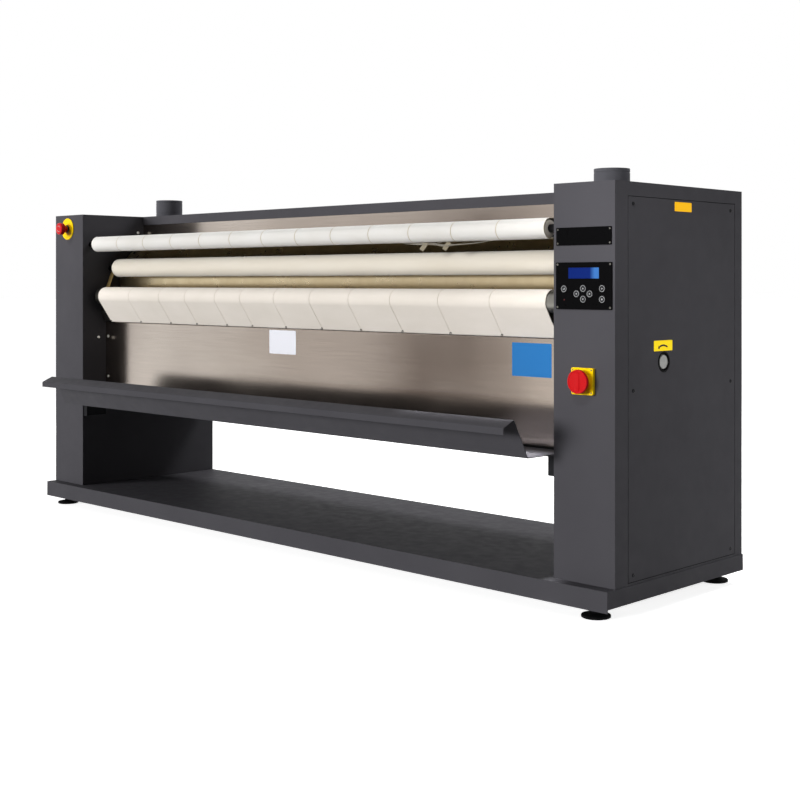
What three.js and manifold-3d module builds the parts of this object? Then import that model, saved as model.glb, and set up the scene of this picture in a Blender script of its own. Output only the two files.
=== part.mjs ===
// Flatwork ironer: a free-standing drying ironer with a heated cylinder, cotton ironing bands,
// a sloping apron of feed bands, a linen tray in front and a pedestal at each end.
//
// Millimetres. X runs along the machine, Y from the front faces of the pedestals to the back and
// Z up from the floor. The last lines move the whole machine so that its origin lies under the
// middle of its bounding box.

import * as THREE from "three";
import { mergeVertices } from "three/addons/utils/BufferGeometryUtils.js";
import Module from "manifold-3d";

const wasm = await Module();
wasm.setup();

// ---------------------------------------------------------------- driving sizes

// Clearances
const seatGap = 0.3; // between pieces that are bolted or seated together
const runningGap = 0.3; // around anything that turns or slides in its seat
const holeClearance = 2; // around a shaft where it only passes through a sheet
const doorGap = 2; // visible joint round a service door

// Sheet metal
const sheet = 2.5; // painted steel of the pedestals and covers
const stainlessSheet = 1.5;
const traySheet = 2;
const basePlateThickness = 3;
const sideFrameThickness = 8;

// Base plate and feet
const baseLength = 2900;
const baseTop = 90;
const baseFrontOverhang = 40;
const baseRearOverhang = 3; // behind the pedestals
const baseFrontFlange = 60;
const baseSideFlange = 50;
const footPadSize = 60;
const footPadThickness = 14;
const footDiscRadius = 42;
const footDiscHeight = 12;
const footStemRadius = 8;
const footNutRadius = 13;
const footNutHeight = 10;
const footNeckHeight = 3;
const footInsetX = 78;
const footFrontY = 15;
const footRearInset = 37; // from the rear faces of the pedestals

// Pedestals
const pedestalSideInset = 3; // the base plate stands this far out of each pedestal
const pedestalWidth = 212;
const pedestalDepth = 677;
const pedestalTop = 1220;
const doorFrontY = 64;
const doorRearInset = 43; // from the rear face
const doorBottom = 98;
const doorTopInset = 42; // below the top of the pedestal
const doorFrameWidth = 36; // the ledge behind the door that its screws go into
const sideFrameFrontY = 12;
const sideFrameRearInset = 22; // from the rear face of the pedestal
const sideFrameTopInset = 15; // below the top of the pedestal
const sideFrameFootWidth = 40;
const baseRear = pedestalDepth + baseRearOverhang;
const footRearY = pedestalDepth - footRearInset;
const doorRearY = pedestalDepth - doorRearInset;
const doorTop = pedestalTop - doorTopInset;
const sideFrameRearY = pedestalDepth - sideFrameRearInset;
const sideFrameTop = pedestalTop - sideFrameTopInset;
const outerFaceX = baseLength / 2 - pedestalSideInset; // of each pedestal
const innerFaceX = outerFaceX - pedestalWidth; // towards the rollers

// Rear beam, covers and panels
const beamFrontY = 299;
const beamFlangeDrop = 36;
const beamRearFlangeDrop = 28;
const upperPanelTopInset = 8; // below the top of the pedestals
const upperPanelHeight = 82;
const upperPanelTop = pedestalTop - upperPanelTopInset;
const upperPanelBottom = upperPanelTop - upperPanelHeight;
const lowerPanelY = 112;
const lowerPanelBottom = 441;
const lowerPanelTop = 771;
const lowerPanelLedgeDepth = 38;
const lowerPanelLedgeRise = 8;
const ventSlotLength = 160;
const ventSlotHeight = 8;
const ventSlotPitch = 24;
const ventSlotRows = 5;
const ventGroupX = 800;
const ventBottom = 520;

// Linen tray, given by the middle of its sheet
const trayEndGap = 20; // from each end to the pedestal
const trayLipFrontY = -200;
const trayLipBottom = 514;
const trayLipFrontTop = 533;
const trayLipRearY = -155;
const trayLipTop = 553;
const trayWallFootY = -92;
const trayFloor = 439.5;
const trayFloorRearY = 110;
const trayBracketDrop = 58;
const trayBracketWeb = 24; // how far its front web stands out from the pedestal
const trayBracketThickness = 3;
const trayBracketReach = 55;
const trayBracketFrontY = 4;

// Heated cylinder
const cylinderRadius = 165;
const cylinderWall = 6;
const cylinderEndGap = 13; // from each end to the pedestal
const cylinderEndDisc = 10;
const cylinderZ = 940;
const journalRadius = 40;
const journalBore = 30;
const bearingWidth = 24;
const bearingRadius = 75;
const bearingFlangeThickness = 8;
const bearingHousingRadius = 58;
const leftJournalReach = 45; // beyond the outer face of the side frame
const rightJournalReach = 60;

// Rollers, each by its axis, its radius and the gap between its end and the pedestal
const rearGuideInset = 77; // from the rear faces of the pedestals
const topRoller = { y: 43, z: 1095, radius: 28.2, endGap: 46, shaftRadius: 12 };
const pressRoller = { y: 142, z: 997, radius: 37.5, endGap: 45, shaftRadius: 15 };
const feedRoller = { y: 74, z: 879, radius: 35, endGap: 29, shaftRadius: 15 };
const frontGuide = { y: 165, z: 815, radius: 28.2, endGap: 40, shaftRadius: 12 };
const rearGuideY = pedestalDepth - rearGuideInset;
const lowerGuide = { y: rearGuideY, z: 700, radius: 28.2, endGap: 40, shaftRadius: 12 };
const upperGuide = { y: rearGuideY, z: 1095, radius: 28.2, endGap: 40, shaftRadius: 12 };
const pressRollerGap = 0.5; // between the press roller's cloth and the cylinder
const shaftReach = 14; // of each shaft beyond the outer face of the side frame

// Bands
const bandThickness = 3;
const ironingBandCount = 13;
const ironingBandEndGap = 45.5; // from the outermost band to the pedestal
const feedBandShares = [220, 206, 170, 187, 151, 190, 192, 197, 197, 213, 213, 216]; // their widths
const feedBandEndGap = 59;
const seamHalfWidth = 2.5;
const seamDepth = 1.2;
const noseSetback = 32; // behind the feed roller's axis
const noseDrop = 99; // below it
const noseY = feedRoller.y + noseSetback;
const noseZ = feedRoller.z - noseDrop;
const noseRadius = 6;
const noseBarDepth = 40;

// Heating elements inside the cylinder
const elementCount = 6;
const elementRadius = 8;
const elementCircle = 110;
const elementEndGap = 85; // from the outer spiders to the pedestals
const elementSpiderRadius = 125;
const elementSpiderThickness = 5;
const elementSpiderCount = 3;
const elementCoreRadius = 16;
const elementLeftReach = 22; // of the core into the electrical box

// Exhaust ducts and their fans
const ductInset = 72; // from the pedestal's inner face to the duct's axis
const ductX = innerFaceX - ductInset;
const ductY = 386;
const ductRadius = 56;
const ductWall = 2;
const ductDrop = 70; // of its lower end below the top of the pedestals
const ductRise = 70; // of its upper end above them
const ductBottom = pedestalTop - ductDrop;
const ductTop = pedestalTop + ductRise;
const ductFlangeRadius = 72;
const ductFlangeThickness = 2.8;
const fanMotorRadius = 17;
const fanMotorRise = 8; // above the lower end of the duct
const fanMotorHeight = 32;
const fanMotorBottom = ductBottom + fanMotorRise;
const fanMotorTop = fanMotorBottom + fanMotorHeight;
const fanArmWidth = 8;
const fanArmHeight = 12;
const fanArmCount = 3;
const fanHubHeight = 18;
const fanHubGap = 3;
const fanShaftRadius = 3;
const fanShaftDepth = 10;
const fanBladeCount = 5;
const fanBladeWidth = 18;
const fanBladeThickness = 2.2;
const fanBladePitchDegrees = 38;
const fanTipRadius = 50;

// Chain drive in the right pedestal
const chainPitch = 19.05;
const cylinderTeeth = 36;
const driveTeeth = 12;
const sprocketThickness = 6;
const sprocketHubWidth = 22;
const sprocketHubRadius = 56;
const chainPlateThickness = 2;
const chainPlateHeight = 11;
const chainPinRadius = 2.5;
const toothHeight = 5;
const toothRoot = 6;
const toothRootShare = 0.3; // half of a tooth's share of the pitch at its root
const toothTipShare = 0.1; // and at its tip
const driveShaftY = 241.5;
const driveShaftZ = 708;
const driveShaftRadius = 15;
const crankDiscRadius = 21;
const crankDiscThickness = 12;
const crankDiscSetback = 7; // behind the outer face of the door
const crankPortRadius = 25;
const grommetLip = 5;
const grommetProud = 1.5;
const gearboxWidth = 94;
const gearboxDepth = 124;
const gearboxTop = 790;
const gearboxChamfer = 18;
const driveShelfTop = 644;
const driveShelfThickness = 8;
const driveShelfDrop = 84;
const driveShelfFrontY = 150;
const driveShelfRearY = 340;
const motorRadius = 62;
const motorFlangeRadius = 75;
const motorFlangeThickness = 8;
const motorLength = 248;
const motorCowlLength = 48;
const motorCowlRadius = 65;
const motorSpigotRadius = 42;
const motorBoxWidth = 70;
const motorBoxHeight = 90;
const motorBoxDepth = 34;

// Electrical box in the left pedestal and the mains gland at the back of the right one
const electricalBoxGap = 10; // to the service door's ledge
const electricalBoxWidth = 126;
const electricalBoxFrontY = 150;
const electricalBoxRearY = 520;
const electricalBoxBottom = 740;
const electricalBoxTop = 1120;
const standoffRadius = 8;
const standoffInset = 24;
const glandInset = 106; // from the pedestal's outer face
const glandX = outerFaceX - glandInset;
const glandZ = 200;
const glandThreadRadius = 12;
const glandHexRadius = 18;
const glandBore = 7;
const glandNutRadius = 16;
const glandNutLength = 10;
const glandHexLength = 16;

// Keypad on the right pedestal
const keypadInset = 105; // from the pedestal's outer face
const keypadX = outerFaceX - keypadInset;
const keypadZ = 927.5;
const keypadWidth = 194;
const keypadHeight = 133;
const keypadThickness = 3;
const keypadWindowMargin = 14;
const displayRise = 36; // above the middle of the keypad
const displayWidth = 106;
const displayHeight = 31;
const displayDepth = 7;
const boardThickness = 1.6;
const boardMargin = 2;
const buttonRadius = 10;
const buttonFlangeRadius = 11.5;
const buttonFlangeThickness = 1.2;
const buttonProud = 1.5; // of the keypad's face; also the travel
const buttonOffsets = {
  button_enter: [-68, -8.5],
  button_up: [-1, -7.5],
  button_left: [-24, -22.5],
  button_right: [22, -22.5],
  button_down: [-1, -37.5],
  button_start: [64, -7.5],
  button_stop: [64, -37.5],
}; // from the middle of the keypad

// Main switch on the right pedestal
const switchInset = 105; // from the pedestal's outer face
const switchX = outerFaceX - switchInset;
const switchZ = 659.5;
const switchPlateWidth = 76;
const switchPlateHeight = 76;
const switchPlateThickness = 10;
const switchKnobRadius = 34;
const switchKnobDepth = 24;
const switchKnobRim = 10; // the depth of the knob's wide front disc
const switchKnobNeck = 20;
const switchKnobChamfer = 2.5;
const switchShaftRadius = 6;
const switchShaftDepth = 24; // behind the plate
const switchBodySize = 56;
const switchBodyDepth = 50;

// Emergency stop on the left pedestal
const stopInset = 97; // from the pedestal's outer face
const stopX = stopInset - outerFaceX;
const stopZ = 1162;
const stopPlateRadius = 45;
const stopPlateThickness = 3;
const stopCollarRadius = 17;
const stopCollarDepth = 2;
const stopBarrelRadius = 11;
const stopStemRadius = 7;
const stopStemLength = 38;
const stopHeadRadius = 24.5;
const stopHeadDepth = 33;
const stopHeadNeck = 20;
const stopHeadFaceRadius = 21;
const stopHeadFrontBevel = 3.5;
const stopHeadRearBevel = 4;
const stopSpigotRadius = 3.5;
const stopSpigotDepth = 11;
const stopTravel = 6;
const stopBlockSize = 40;
const stopBlockDepth = 46;

// ---------------------------------------------------------------- places worked out from them

const pedestalBottom = baseTop + seatGap;
const sideFrameInnerX = innerFaceX + sheet + seatGap;
const sideFrameOuterX = sideFrameInnerX + sideFrameThickness;
const shaftEndX = sideFrameOuterX + shaftReach;
const panelHalfLength = innerFaceX - seatGap;
const beamRearY = pedestalDepth - sheet - seatGap;
const beamUnderside = pedestalTop - sheet;
const cylinderY =
  pressRoller.y +
  Math.sqrt(
    (cylinderRadius + pressRoller.radius + pressRollerGap) ** 2 - (pressRoller.z - cylinderZ) ** 2,
  );
const bearingInnerX = sideFrameOuterX + seatGap;
const sprocketX = bearingInnerX + bearingWidth + sprocketHubWidth / 2 + seatGap;
const electricalBoxOuterX = outerFaceX - 2 * sheet - electricalBoxGap;
const electricalBoxInnerX = electricalBoxOuterX - electricalBoxWidth;
const gearboxInnerX = sprocketX + sprocketHubWidth / 2 + seatGap + chainPlateHeight / 2;
const gearboxOuterX = gearboxInnerX + gearboxWidth;
const motorX = (gearboxInnerX + gearboxOuterX) / 2;
const crankDiscOuterX = outerFaceX - crankDiscSetback;
const displayZ = keypadZ + displayRise;
const machineFrontY = trayLipFrontY - traySheet / 2;
const machineRearY = pedestalDepth + glandHexLength;

// ---------------------------------------------------------------- small tools

const finestSides = 36;
const roundSides = 24;
const smallSides = 12;
const fewSides = 6;
const stepAngle = Math.PI / 8; // of a band where it bends round a roller
const wideStepAngle = Math.PI / 12; // of a band round the cylinder
const cutMargin = 1; // how far a cutting solid runs past the faces that it cuts
const fusing = 1; // how far two solids that become one piece run into each other

function solid(geometry) {
  const bare = new THREE.BufferGeometry();
  bare.setAttribute("position", geometry.getAttribute("position").clone());
  if (geometry.index) bare.setIndex(geometry.index.clone());
  const merged = mergeVertices(bare, 1e-4);
  const corners = merged.index.array;
  const triangles = [];
  for (let i = 0; i < corners.length; i += 3) {
    const [a, b, c] = [corners[i], corners[i + 1], corners[i + 2]];
    if (a !== b && b !== c && c !== a) triangles.push(a, b, c);
  }
  const mesh = new wasm.Mesh({
    numProp: 3,
    vertProperties: new Float32Array(merged.getAttribute("position").array),
    triVerts: new Uint32Array(triangles),
  });
  return new wasm.Manifold(mesh);
}

function shapeOf(body) {
  const mesh = body.getMesh();
  const geometry = new THREE.BufferGeometry();
  geometry.setAttribute("position", new THREE.BufferAttribute(mesh.vertProperties, 3));
  geometry.setIndex(new THREE.BufferAttribute(mesh.triVerts, 1));
  geometry.computeVertexNormals();
  return geometry;
}

function cut(geometry, tools) {
  return shapeOf(tools.reduce((body, tool) => body.subtract(solid(tool)), solid(geometry)));
}

function join(geometries) {
  const [first, ...rest] = geometries;
  return shapeOf(rest.reduce((body, next) => body.add(solid(next)), solid(first)));
}

function block(x0, x1, y0, y1, z0, z1) {
  const [lowX, highX] = [Math.min(x0, x1), Math.max(x0, x1)];
  const geometry = new THREE.BoxGeometry(highX - lowX, y1 - y0, z1 - z0);
  return geometry.translate((lowX + highX) / 2, (y0 + y1) / 2, (z0 + z1) / 2);
}

// A turned piece: its profile is a list of [radius, place along the axis], outside going up.
function turned(axis, profile, sides = roundSides) {
  const geometry = new THREE.LatheGeometry(
    profile.map(([radius, along]) => new THREE.Vector2(radius, along)),
    sides,
  );
  if (axis === "x") geometry.rotateZ(-Math.PI / 2);
  if (axis === "z") geometry.rotateX(Math.PI / 2);
  return geometry;
}

function rod(axis, radius, from, to, sides = roundSides) {
  const profile = [
    [0, from],
    [radius, from],
    [radius, to],
    [0, to],
  ];
  return turned(axis, profile, sides);
}

// A cutter for a round hole, drawn round the circle so that no flat comes closer than its radius.
function hole(axis, radius, from, to, sides = roundSides) {
  return rod(axis, radius / Math.cos(Math.PI / sides), from, to, sides);
}

function ring(axis, inner, outer, from, to, sides = roundSides) {
  const innerCorner = inner / Math.cos(Math.PI / sides);
  const profile = [
    [innerCorner, from],
    [outer, from],
    [outer, to],
    [innerCorner, to],
    [innerCorner, from],
  ];
  return turned(axis, profile, sides);
}

// A section given as [y, z] points and drawn out along X.
function drawnOut(points, x0, x1) {
  const outline = new THREE.Shape(points.map(([y, z]) => new THREE.Vector2(y, z)));
  const geometry = new THREE.ExtrudeGeometry(outline, {
    depth: x1 - x0,
    bevelEnabled: false,
    curveSegments: 1,
  });
  const toMachine = new THREE.Matrix4().makeBasis(
    new THREE.Vector3(0, 1, 0),
    new THREE.Vector3(0, 0, 1),
    new THREE.Vector3(1, 0, 0),
  );
  return geometry.applyMatrix4(toMachine).translate(x0, 0, 0);
}

// The outline of a bent sheet, from the corners of its middle line.
function bentSheet(middle, thickness) {
  const shifted = (side) =>
    middle.map((point, i) => {
      const normals = [];
      if (i > 0) normals.push(leftNormal(middle[i - 1], point));
      if (i < middle.length - 1) normals.push(leftNormal(point, middle[i + 1]));
      const sum = normals.reduce(([a, b], [c, d]) => [a + c, b + d], [0, 0]);
      const length = Math.hypot(...sum);
      const unit = [sum[0] / length, sum[1] / length];
      const reach = (side * thickness) / 2 / (unit[0] * normals[0][0] + unit[1] * normals[0][1]);
      return [point[0] + unit[0] * reach, point[1] + unit[1] * reach];
    });
  return [...shifted(-1), ...shifted(1).reverse()];
}

function leftNormal([y0, z0], [y1, z1]) {
  const length = Math.hypot(y1 - y0, z1 - z0);
  return [-(z1 - z0) / length, (y1 - y0) / length];
}

// The corners of a band that runs round wheels. A wheel with a positive radius lies inside the
// loop, one with a negative radius outside. Every flat of the band touches its wheel's circle.
function loopOutline(wheels, offset) {
  const headings = wheels.map((wheel, i) => {
    const next = wheels[(i + 1) % wheels.length];
    const distance = Math.hypot(next.y - wheel.y, next.z - wheel.z);
    const bearing = Math.atan2(next.z - wheel.z, next.y - wheel.y);
    return bearing + Math.asin((wheel.radius - next.radius) / distance);
  });
  const points = [];
  wheels.forEach((wheel, i) => {
    const before = headings[(i + wheels.length - 1) % wheels.length];
    let turn = headings[i] - before;
    while (turn * wheel.radius < 0) turn += wheel.radius > 0 ? 2 * Math.PI : -2 * Math.PI;
    while (Math.abs(turn) > 2 * Math.PI) turn -= Math.sign(turn) * 2 * Math.PI;
    const steps = Math.max(1, Math.ceil(Math.abs(turn) / (wheel.step ?? stepAngle)));
    const step = turn / steps;
    const reach = (wheel.radius + offset) / Math.cos(step / 2);
    for (let k = 0; k < steps; k++) {
      const angle = before - Math.PI / 2 + (k + 0.5) * step;
      points.push([wheel.y + reach * Math.cos(angle), wheel.z + reach * Math.sin(angle)]);
    }
  });
  return points;
}

// A closed loop of sheet round the wheels, with a thickness given at each station along X.
function loopBand(wheels, stations) {
  const positions = [];
  const triangles = [];
  const addRing = (x, offset) => {
    const first = positions.length / 3;
    loopOutline(wheels, offset).forEach(([y, z]) => positions.push(x, y, z));
    return first;
  };
  const outer = stations.map(([x, thickness]) => addRing(x, thickness));
  const [firstX, lastX] = [stations[0][0], stations[stations.length - 1][0]];
  const inner = [addRing(firstX, 0), addRing(lastX, 0)];
  const count = positions.length / 3 - inner[1];
  const addStrip = (low, high) => {
    for (let i = 0; i < count; i++) {
      const j = (i + 1) % count;
      triangles.push(low + i, low + j, high + j, low + i, high + j, high + i);
    }
  };
  for (let i = 0; i + 1 < outer.length; i++) addStrip(outer[i], outer[i + 1]);
  addStrip(outer[outer.length - 1], inner[1]);
  addStrip(inner[1], inner[0]);
  addStrip(inner[0], outer[0]);
  const geometry = new THREE.BufferGeometry();
  geometry.setAttribute("position", new THREE.Float32BufferAttribute(positions, 3));
  geometry.setIndex(triangles);
  geometry.computeVertexNormals();
  return geometry;
}

// Stations for a row of bands that fills the span from -half to half in the given shares, with a
// shallow groove at each seam.
function bandStations(shares, half) {
  const total = shares.reduce((sum, share) => sum + share);
  const stations = [[-half, bandThickness]];
  let seam = -half;
  for (const share of shares.slice(0, -1)) {
    seam += (2 * half * share) / total;
    stations.push([seam - seamHalfWidth, bandThickness]);
    stations.push([seam, bandThickness - seamDepth]);
    stations.push([seam + seamHalfWidth, bandThickness]);
  }
  stations.push([half, bandThickness]);
  return stations;
}

const machine = new THREE.Group();
const bodywork = new THREE.Group();
const rollers = new THREE.Group();
const drive = new THREE.Group();
const controls = new THREE.Group();
machine.add(bodywork, rollers, drive, controls);

const finishes = {
  paint: ["#4c4b4f", 0.55, 0.1],
  darkPaint: ["#2f2f31", 0.6, 0.1],
  stainless: ["#b4aba1", 0.35, 0.9],
  steel: ["#8a8880", 0.4, 0.9],
  polishedSteel: ["#a39a8a", 0.2, 1],
  castIron: ["#5b5c5e", 0.7, 0.6],
  whiteCloth: ["#e6e4df", 0.95, 0],
  creamCloth: ["#e6dfd0", 0.95, 0],
  rubber: ["#1a1a1b", 0.85, 0],
  blackPlastic: ["#161617", 0.5, 0],
  yellowPlastic: ["#f4d40a", 0.45, 0],
  redPlastic: ["#d8161b", 0.4, 0],
  greyPlastic: ["#55585c", 0.5, 0],
  display: ["#1c3ca8", 0.15, 0],
};

function add(group, name, geometry, finish, [x, y, z] = [0, 0, 0]) {
  const [color, roughness, metalness] = finishes[finish];
  const mesh = new THREE.Mesh(
    geometry,
    new THREE.MeshStandardMaterial({ color, roughness, metalness }),
  );
  mesh.name = name;
  mesh.position.set(x, y, z);
  group.add(mesh);
}

const sides = { left: -1, right: 1 };

// ---------------------------------------------------------------- base plate and feet

const footX = baseLength / 2 - footInsetX;
const plateUnderside = baseTop - basePlateThickness;
const padUnderside = plateUnderside - footPadThickness;
const footPlaces = {
  foot_front_left: [-footX, footFrontY],
  foot_front_right: [footX, footFrontY],
  foot_rear_left: [-footX, footRearY],
  foot_rear_right: [footX, footRearY],
};

function basePlate() {
  const half = baseLength / 2;
  const bottom = baseTop - baseFrontFlange;
  const t = basePlateThickness;
  const front = -baseFrontOverhang;
  let plate = cut(block(-half, half, front, baseRear, bottom, baseTop), [
    block(t - half, half - t, front + t, baseRear - t, bottom - cutMargin, plateUnderside),
    block(
      -half - cutMargin,
      half + cutMargin,
      front + t,
      baseRear + cutMargin,
      bottom - cutMargin,
      baseTop - baseSideFlange,
    ),
  ]);
  const places = Object.values(footPlaces);
  const reach = footPadSize / 2;
  const pads = places.map(([x, y]) =>
    block(x - reach, x + reach, y - reach, y + reach, padUnderside, plateUnderside + fusing),
  );
  plate = join([plate, ...pads]);
  const thread = [footStemRadius + runningGap, padUnderside - cutMargin, plateUnderside];
  const threads = places.map(([x, y]) => hole("z", ...thread, smallSides).translate(x, y, 0));
  return cut(plate, threads);
}

function foot() {
  const nutTop = padUnderside - seatGap;
  const profile = [
    [0, 0],
    [footDiscRadius, 0],
    [footDiscRadius, footDiscHeight / 2],
    [footNutRadius, footDiscHeight],
    [footStemRadius, footDiscHeight + footNeckHeight],
    [footStemRadius, nutTop - footNutHeight],
    [footNutRadius, nutTop - footNutHeight],
    [footNutRadius, nutTop],
    [footStemRadius, nutTop],
    [footStemRadius, plateUnderside - seatGap],
    [0, plateUnderside - seatGap],
  ];
  return turned("z", profile, smallSides);
}

add(bodywork, "base_plate", basePlate(), "paint");
for (const [name, [x, y]] of Object.entries(footPlaces)) {
  add(bodywork, name, foot(), "rubber", [x, y, 0]);
}

// ---------------------------------------------------------------- pedestals

const allRollers = [topRoller, pressRoller, feedRoller, frontGuide, lowerGuide, upperGuide];

function shaftHoles(side, from, to, clearance) {
  const span = [side * from, side * to].sort((a, b) => a - b);
  return allRollers.map(({ y, z, shaftRadius }) =>
    hole("x", shaftRadius + clearance, ...span, smallSides).translate(0, y, z),
  );
}

function journalHole(side, from, to) {
  const span = [side * from, side * to].sort((a, b) => a - b);
  return hole("x", journalRadius + holeClearance, ...span).translate(0, cylinderY, cylinderZ);
}

function pedestalShell(side) {
  const wallCut = [innerFaceX - cutMargin, innerFaceX + sheet + cutMargin];
  const ledgeInnerX = outerFaceX - 2 * sheet;
  const ledgeOuterX = outerFaceX - sheet;
  const shell = cut(
    block(side * innerFaceX, side * outerFaceX, 0, pedestalDepth, pedestalBottom, pedestalTop),
    [
      block(
        side * (innerFaceX + sheet),
        side * (outerFaceX - sheet),
        sheet,
        pedestalDepth - sheet,
        pedestalBottom - cutMargin,
        pedestalTop - sheet,
      ),
    ],
  );
  const ledge = block(
    side * ledgeInnerX,
    side * (ledgeOuterX + sheet / 2),
    doorFrontY - doorFrameWidth / 2,
    doorRearY + doorFrameWidth / 2,
    pedestalBottom,
    doorTop + doorFrameWidth / 2,
  );
  const withLedge = join([shell, ledge]);
  const window = block(
    side * (ledgeInnerX - cutMargin),
    side * (outerFaceX + cutMargin),
    doorFrontY + doorFrameWidth,
    doorRearY - doorFrameWidth,
    doorBottom + doorFrameWidth,
    doorTop - doorFrameWidth,
  );
  const recess = block(
    side * ledgeOuterX,
    side * (outerFaceX + cutMargin),
    doorFrontY - doorGap,
    doorRearY + doorGap,
    doorBottom - doorGap,
    doorTop + doorGap,
  );
  return cut(withLedge, [
    window,
    recess,
    journalHole(side, ...wallCut),
    ...shaftHoles(side, ...wallCut, holeClearance),
  ]);
}

function serviceDoor(side) {
  return block(
    side * (outerFaceX - sheet + seatGap),
    side * outerFaceX,
    doorFrontY,
    doorRearY,
    doorBottom,
    doorTop,
  );
}

function sideFrame(side) {
  const plate = block(
    side * sideFrameInnerX,
    side * sideFrameOuterX,
    sideFrameFrontY,
    sideFrameRearY,
    pedestalBottom,
    sideFrameTop,
  );
  const footFlange = block(
    side * sideFrameInnerX,
    side * (sideFrameOuterX + sideFrameFootWidth),
    sideFrameFrontY,
    sideFrameRearY,
    pedestalBottom,
    pedestalBottom + sideFrameThickness,
  );
  const span = [sideFrameInnerX - cutMargin, sideFrameOuterX + cutMargin];
  return cut(join([plate, footFlange]), [
    journalHole(side, ...span),
    ...shaftHoles(side, ...span, runningGap),
  ]);
}

// The right shell has a window behind the keypad, a hole for the main switch and one for the
// mains gland; the left shell has a hole for the emergency stop.
const frontCut = [-cutMargin, sheet + cutMargin];
const keypadWindow = block(
  keypadX - keypadWidth / 2 + keypadWindowMargin,
  keypadX + keypadWidth / 2 - keypadWindowMargin,
  ...frontCut,
  keypadZ - keypadHeight / 2 + keypadWindowMargin,
  keypadZ + keypadHeight / 2 - keypadWindowMargin,
);
const switchHole = hole("y", switchShaftRadius + holeClearance, ...frontCut, smallSides).translate(
  switchX,
  0,
  switchZ,
);
const stopHole = hole("y", stopBarrelRadius + seatGap, ...frontCut, smallSides).translate(
  stopX,
  0,
  stopZ,
);
const glandHole = hole(
  "y",
  glandThreadRadius + seatGap,
  pedestalDepth - sheet - cutMargin,
  pedestalDepth + cutMargin,
  smallSides,
).translate(glandX, 0, glandZ);
const portHole = hole(
  "x",
  crankPortRadius + grommetLip / 2,
  outerFaceX - sheet - cutMargin,
  outerFaceX + cutMargin,
).translate(0, driveShaftY, driveShaftZ);

add(bodywork, "left_pedestal_shell", cut(pedestalShell(sides.left), [stopHole]), "paint");
add(
  bodywork,
  "right_pedestal_shell",
  cut(pedestalShell(sides.right), [keypadWindow, switchHole, glandHole]),
  "paint",
);
add(bodywork, "left_service_door", serviceDoor(sides.left), "paint");
add(bodywork, "right_service_door", cut(serviceDoor(sides.right), [portHole]), "paint");

// The gear motor stands on a shelf that is welded to the right side frame, with the motor below
// the shelf and the gearbox above it.
function driveSideFrame() {
  const underside = driveShelfTop - driveShelfThickness;
  const shelf = block(
    sideFrameOuterX - fusing,
    gearboxOuterX,
    driveShelfFrontY,
    driveShelfRearY,
    underside,
    driveShelfTop,
  );
  const upright = block(
    sideFrameOuterX - fusing,
    sideFrameOuterX + driveShelfThickness,
    driveShelfFrontY,
    driveShelfRearY,
    driveShelfTop - driveShelfDrop,
    driveShelfTop,
  );
  const spigotHole = hole(
    "z",
    motorSpigotRadius + seatGap,
    underside - cutMargin,
    driveShelfTop + cutMargin,
  ).translate(motorX, driveShaftY, 0);
  return cut(join([sideFrame(sides.right), shelf, upright]), [spigotHole]);
}

add(bodywork, "left_side_frame", sideFrame(sides.left), "castIron");
add(bodywork, "right_side_frame", driveSideFrame(), "castIron");

// ---------------------------------------------------------------- covers and panels

function topCover() {
  const plate = block(
    -panelHalfLength,
    panelHalfLength,
    beamFrontY,
    beamRearY,
    beamUnderside,
    pedestalTop,
  );
  const frontFlange = block(
    -panelHalfLength,
    panelHalfLength,
    beamFrontY,
    beamFrontY + sheet,
    pedestalTop - beamFlangeDrop,
    pedestalTop,
  );
  const rearFlange = block(
    -panelHalfLength,
    panelHalfLength,
    beamRearY - sheet,
    beamRearY,
    pedestalTop - beamRearFlangeDrop,
    pedestalTop,
  );
  const ductHoles = Object.values(sides).map((side) =>
    hole("z", ductRadius + seatGap, beamUnderside - cutMargin, pedestalTop + cutMargin).translate(
      side * ductX,
      ductY,
      0,
    ),
  );
  return cut(join([plate, frontFlange, rearFlange]), ductHoles);
}

function rearCover() {
  const plate = block(
    -panelHalfLength,
    panelHalfLength,
    pedestalDepth - sheet,
    pedestalDepth,
    lowerPanelBottom,
    pedestalTop - seatGap,
  );
  const slots = [];
  for (const side of Object.values(sides)) {
    for (let row = 0; row < ventSlotRows; row++) {
      const z = ventBottom + row * ventSlotPitch;
      const x = side * ventGroupX;
      slots.push(
        block(
          x - ventSlotLength / 2,
          x + ventSlotLength / 2,
          pedestalDepth - sheet - cutMargin,
          pedestalDepth + cutMargin,
          z,
          z + ventSlotHeight,
        ),
      );
    }
  }
  return cut(plate, slots);
}

function lowerPanel() {
  const middleY = lowerPanelY + stainlessSheet / 2;
  const middle = [
    [middleY, lowerPanelBottom],
    [middleY, lowerPanelTop],
    [middleY + lowerPanelLedgeDepth, lowerPanelTop + lowerPanelLedgeRise],
  ];
  return drawnOut(bentSheet(middle, stainlessSheet), -panelHalfLength, panelHalfLength);
}

function linenTray() {
  const middle = [
    [trayLipFrontY, trayLipBottom],
    [trayLipFrontY, trayLipFrontTop],
    [trayLipRearY, trayLipTop],
    [trayWallFootY, trayFloor],
    [trayFloorRearY, trayFloor],
  ];
  const half = innerFaceX - trayEndGap;
  return drawnOut(bentSheet(middle, traySheet), -half, half);
}

function trayBracket(side) {
  const top = trayFloor - traySheet / 2 - seatGap;
  const upright = block(
    side * (panelHalfLength - trayBracketThickness),
    side * panelHalfLength,
    trayBracketFrontY,
    trayFloorRearY,
    top - trayBracketDrop,
    top,
  );
  const ledge = block(
    side * (panelHalfLength - trayBracketReach),
    side * panelHalfLength,
    trayBracketFrontY,
    trayFloorRearY,
    top - trayBracketThickness,
    top,
  );
  const web = block(
    side * (panelHalfLength - trayBracketWeb),
    side * panelHalfLength,
    trayBracketFrontY,
    trayBracketFrontY + trayBracketThickness,
    top - trayBracketDrop,
    top,
  );
  return join([upright, ledge, web]);
}

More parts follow.
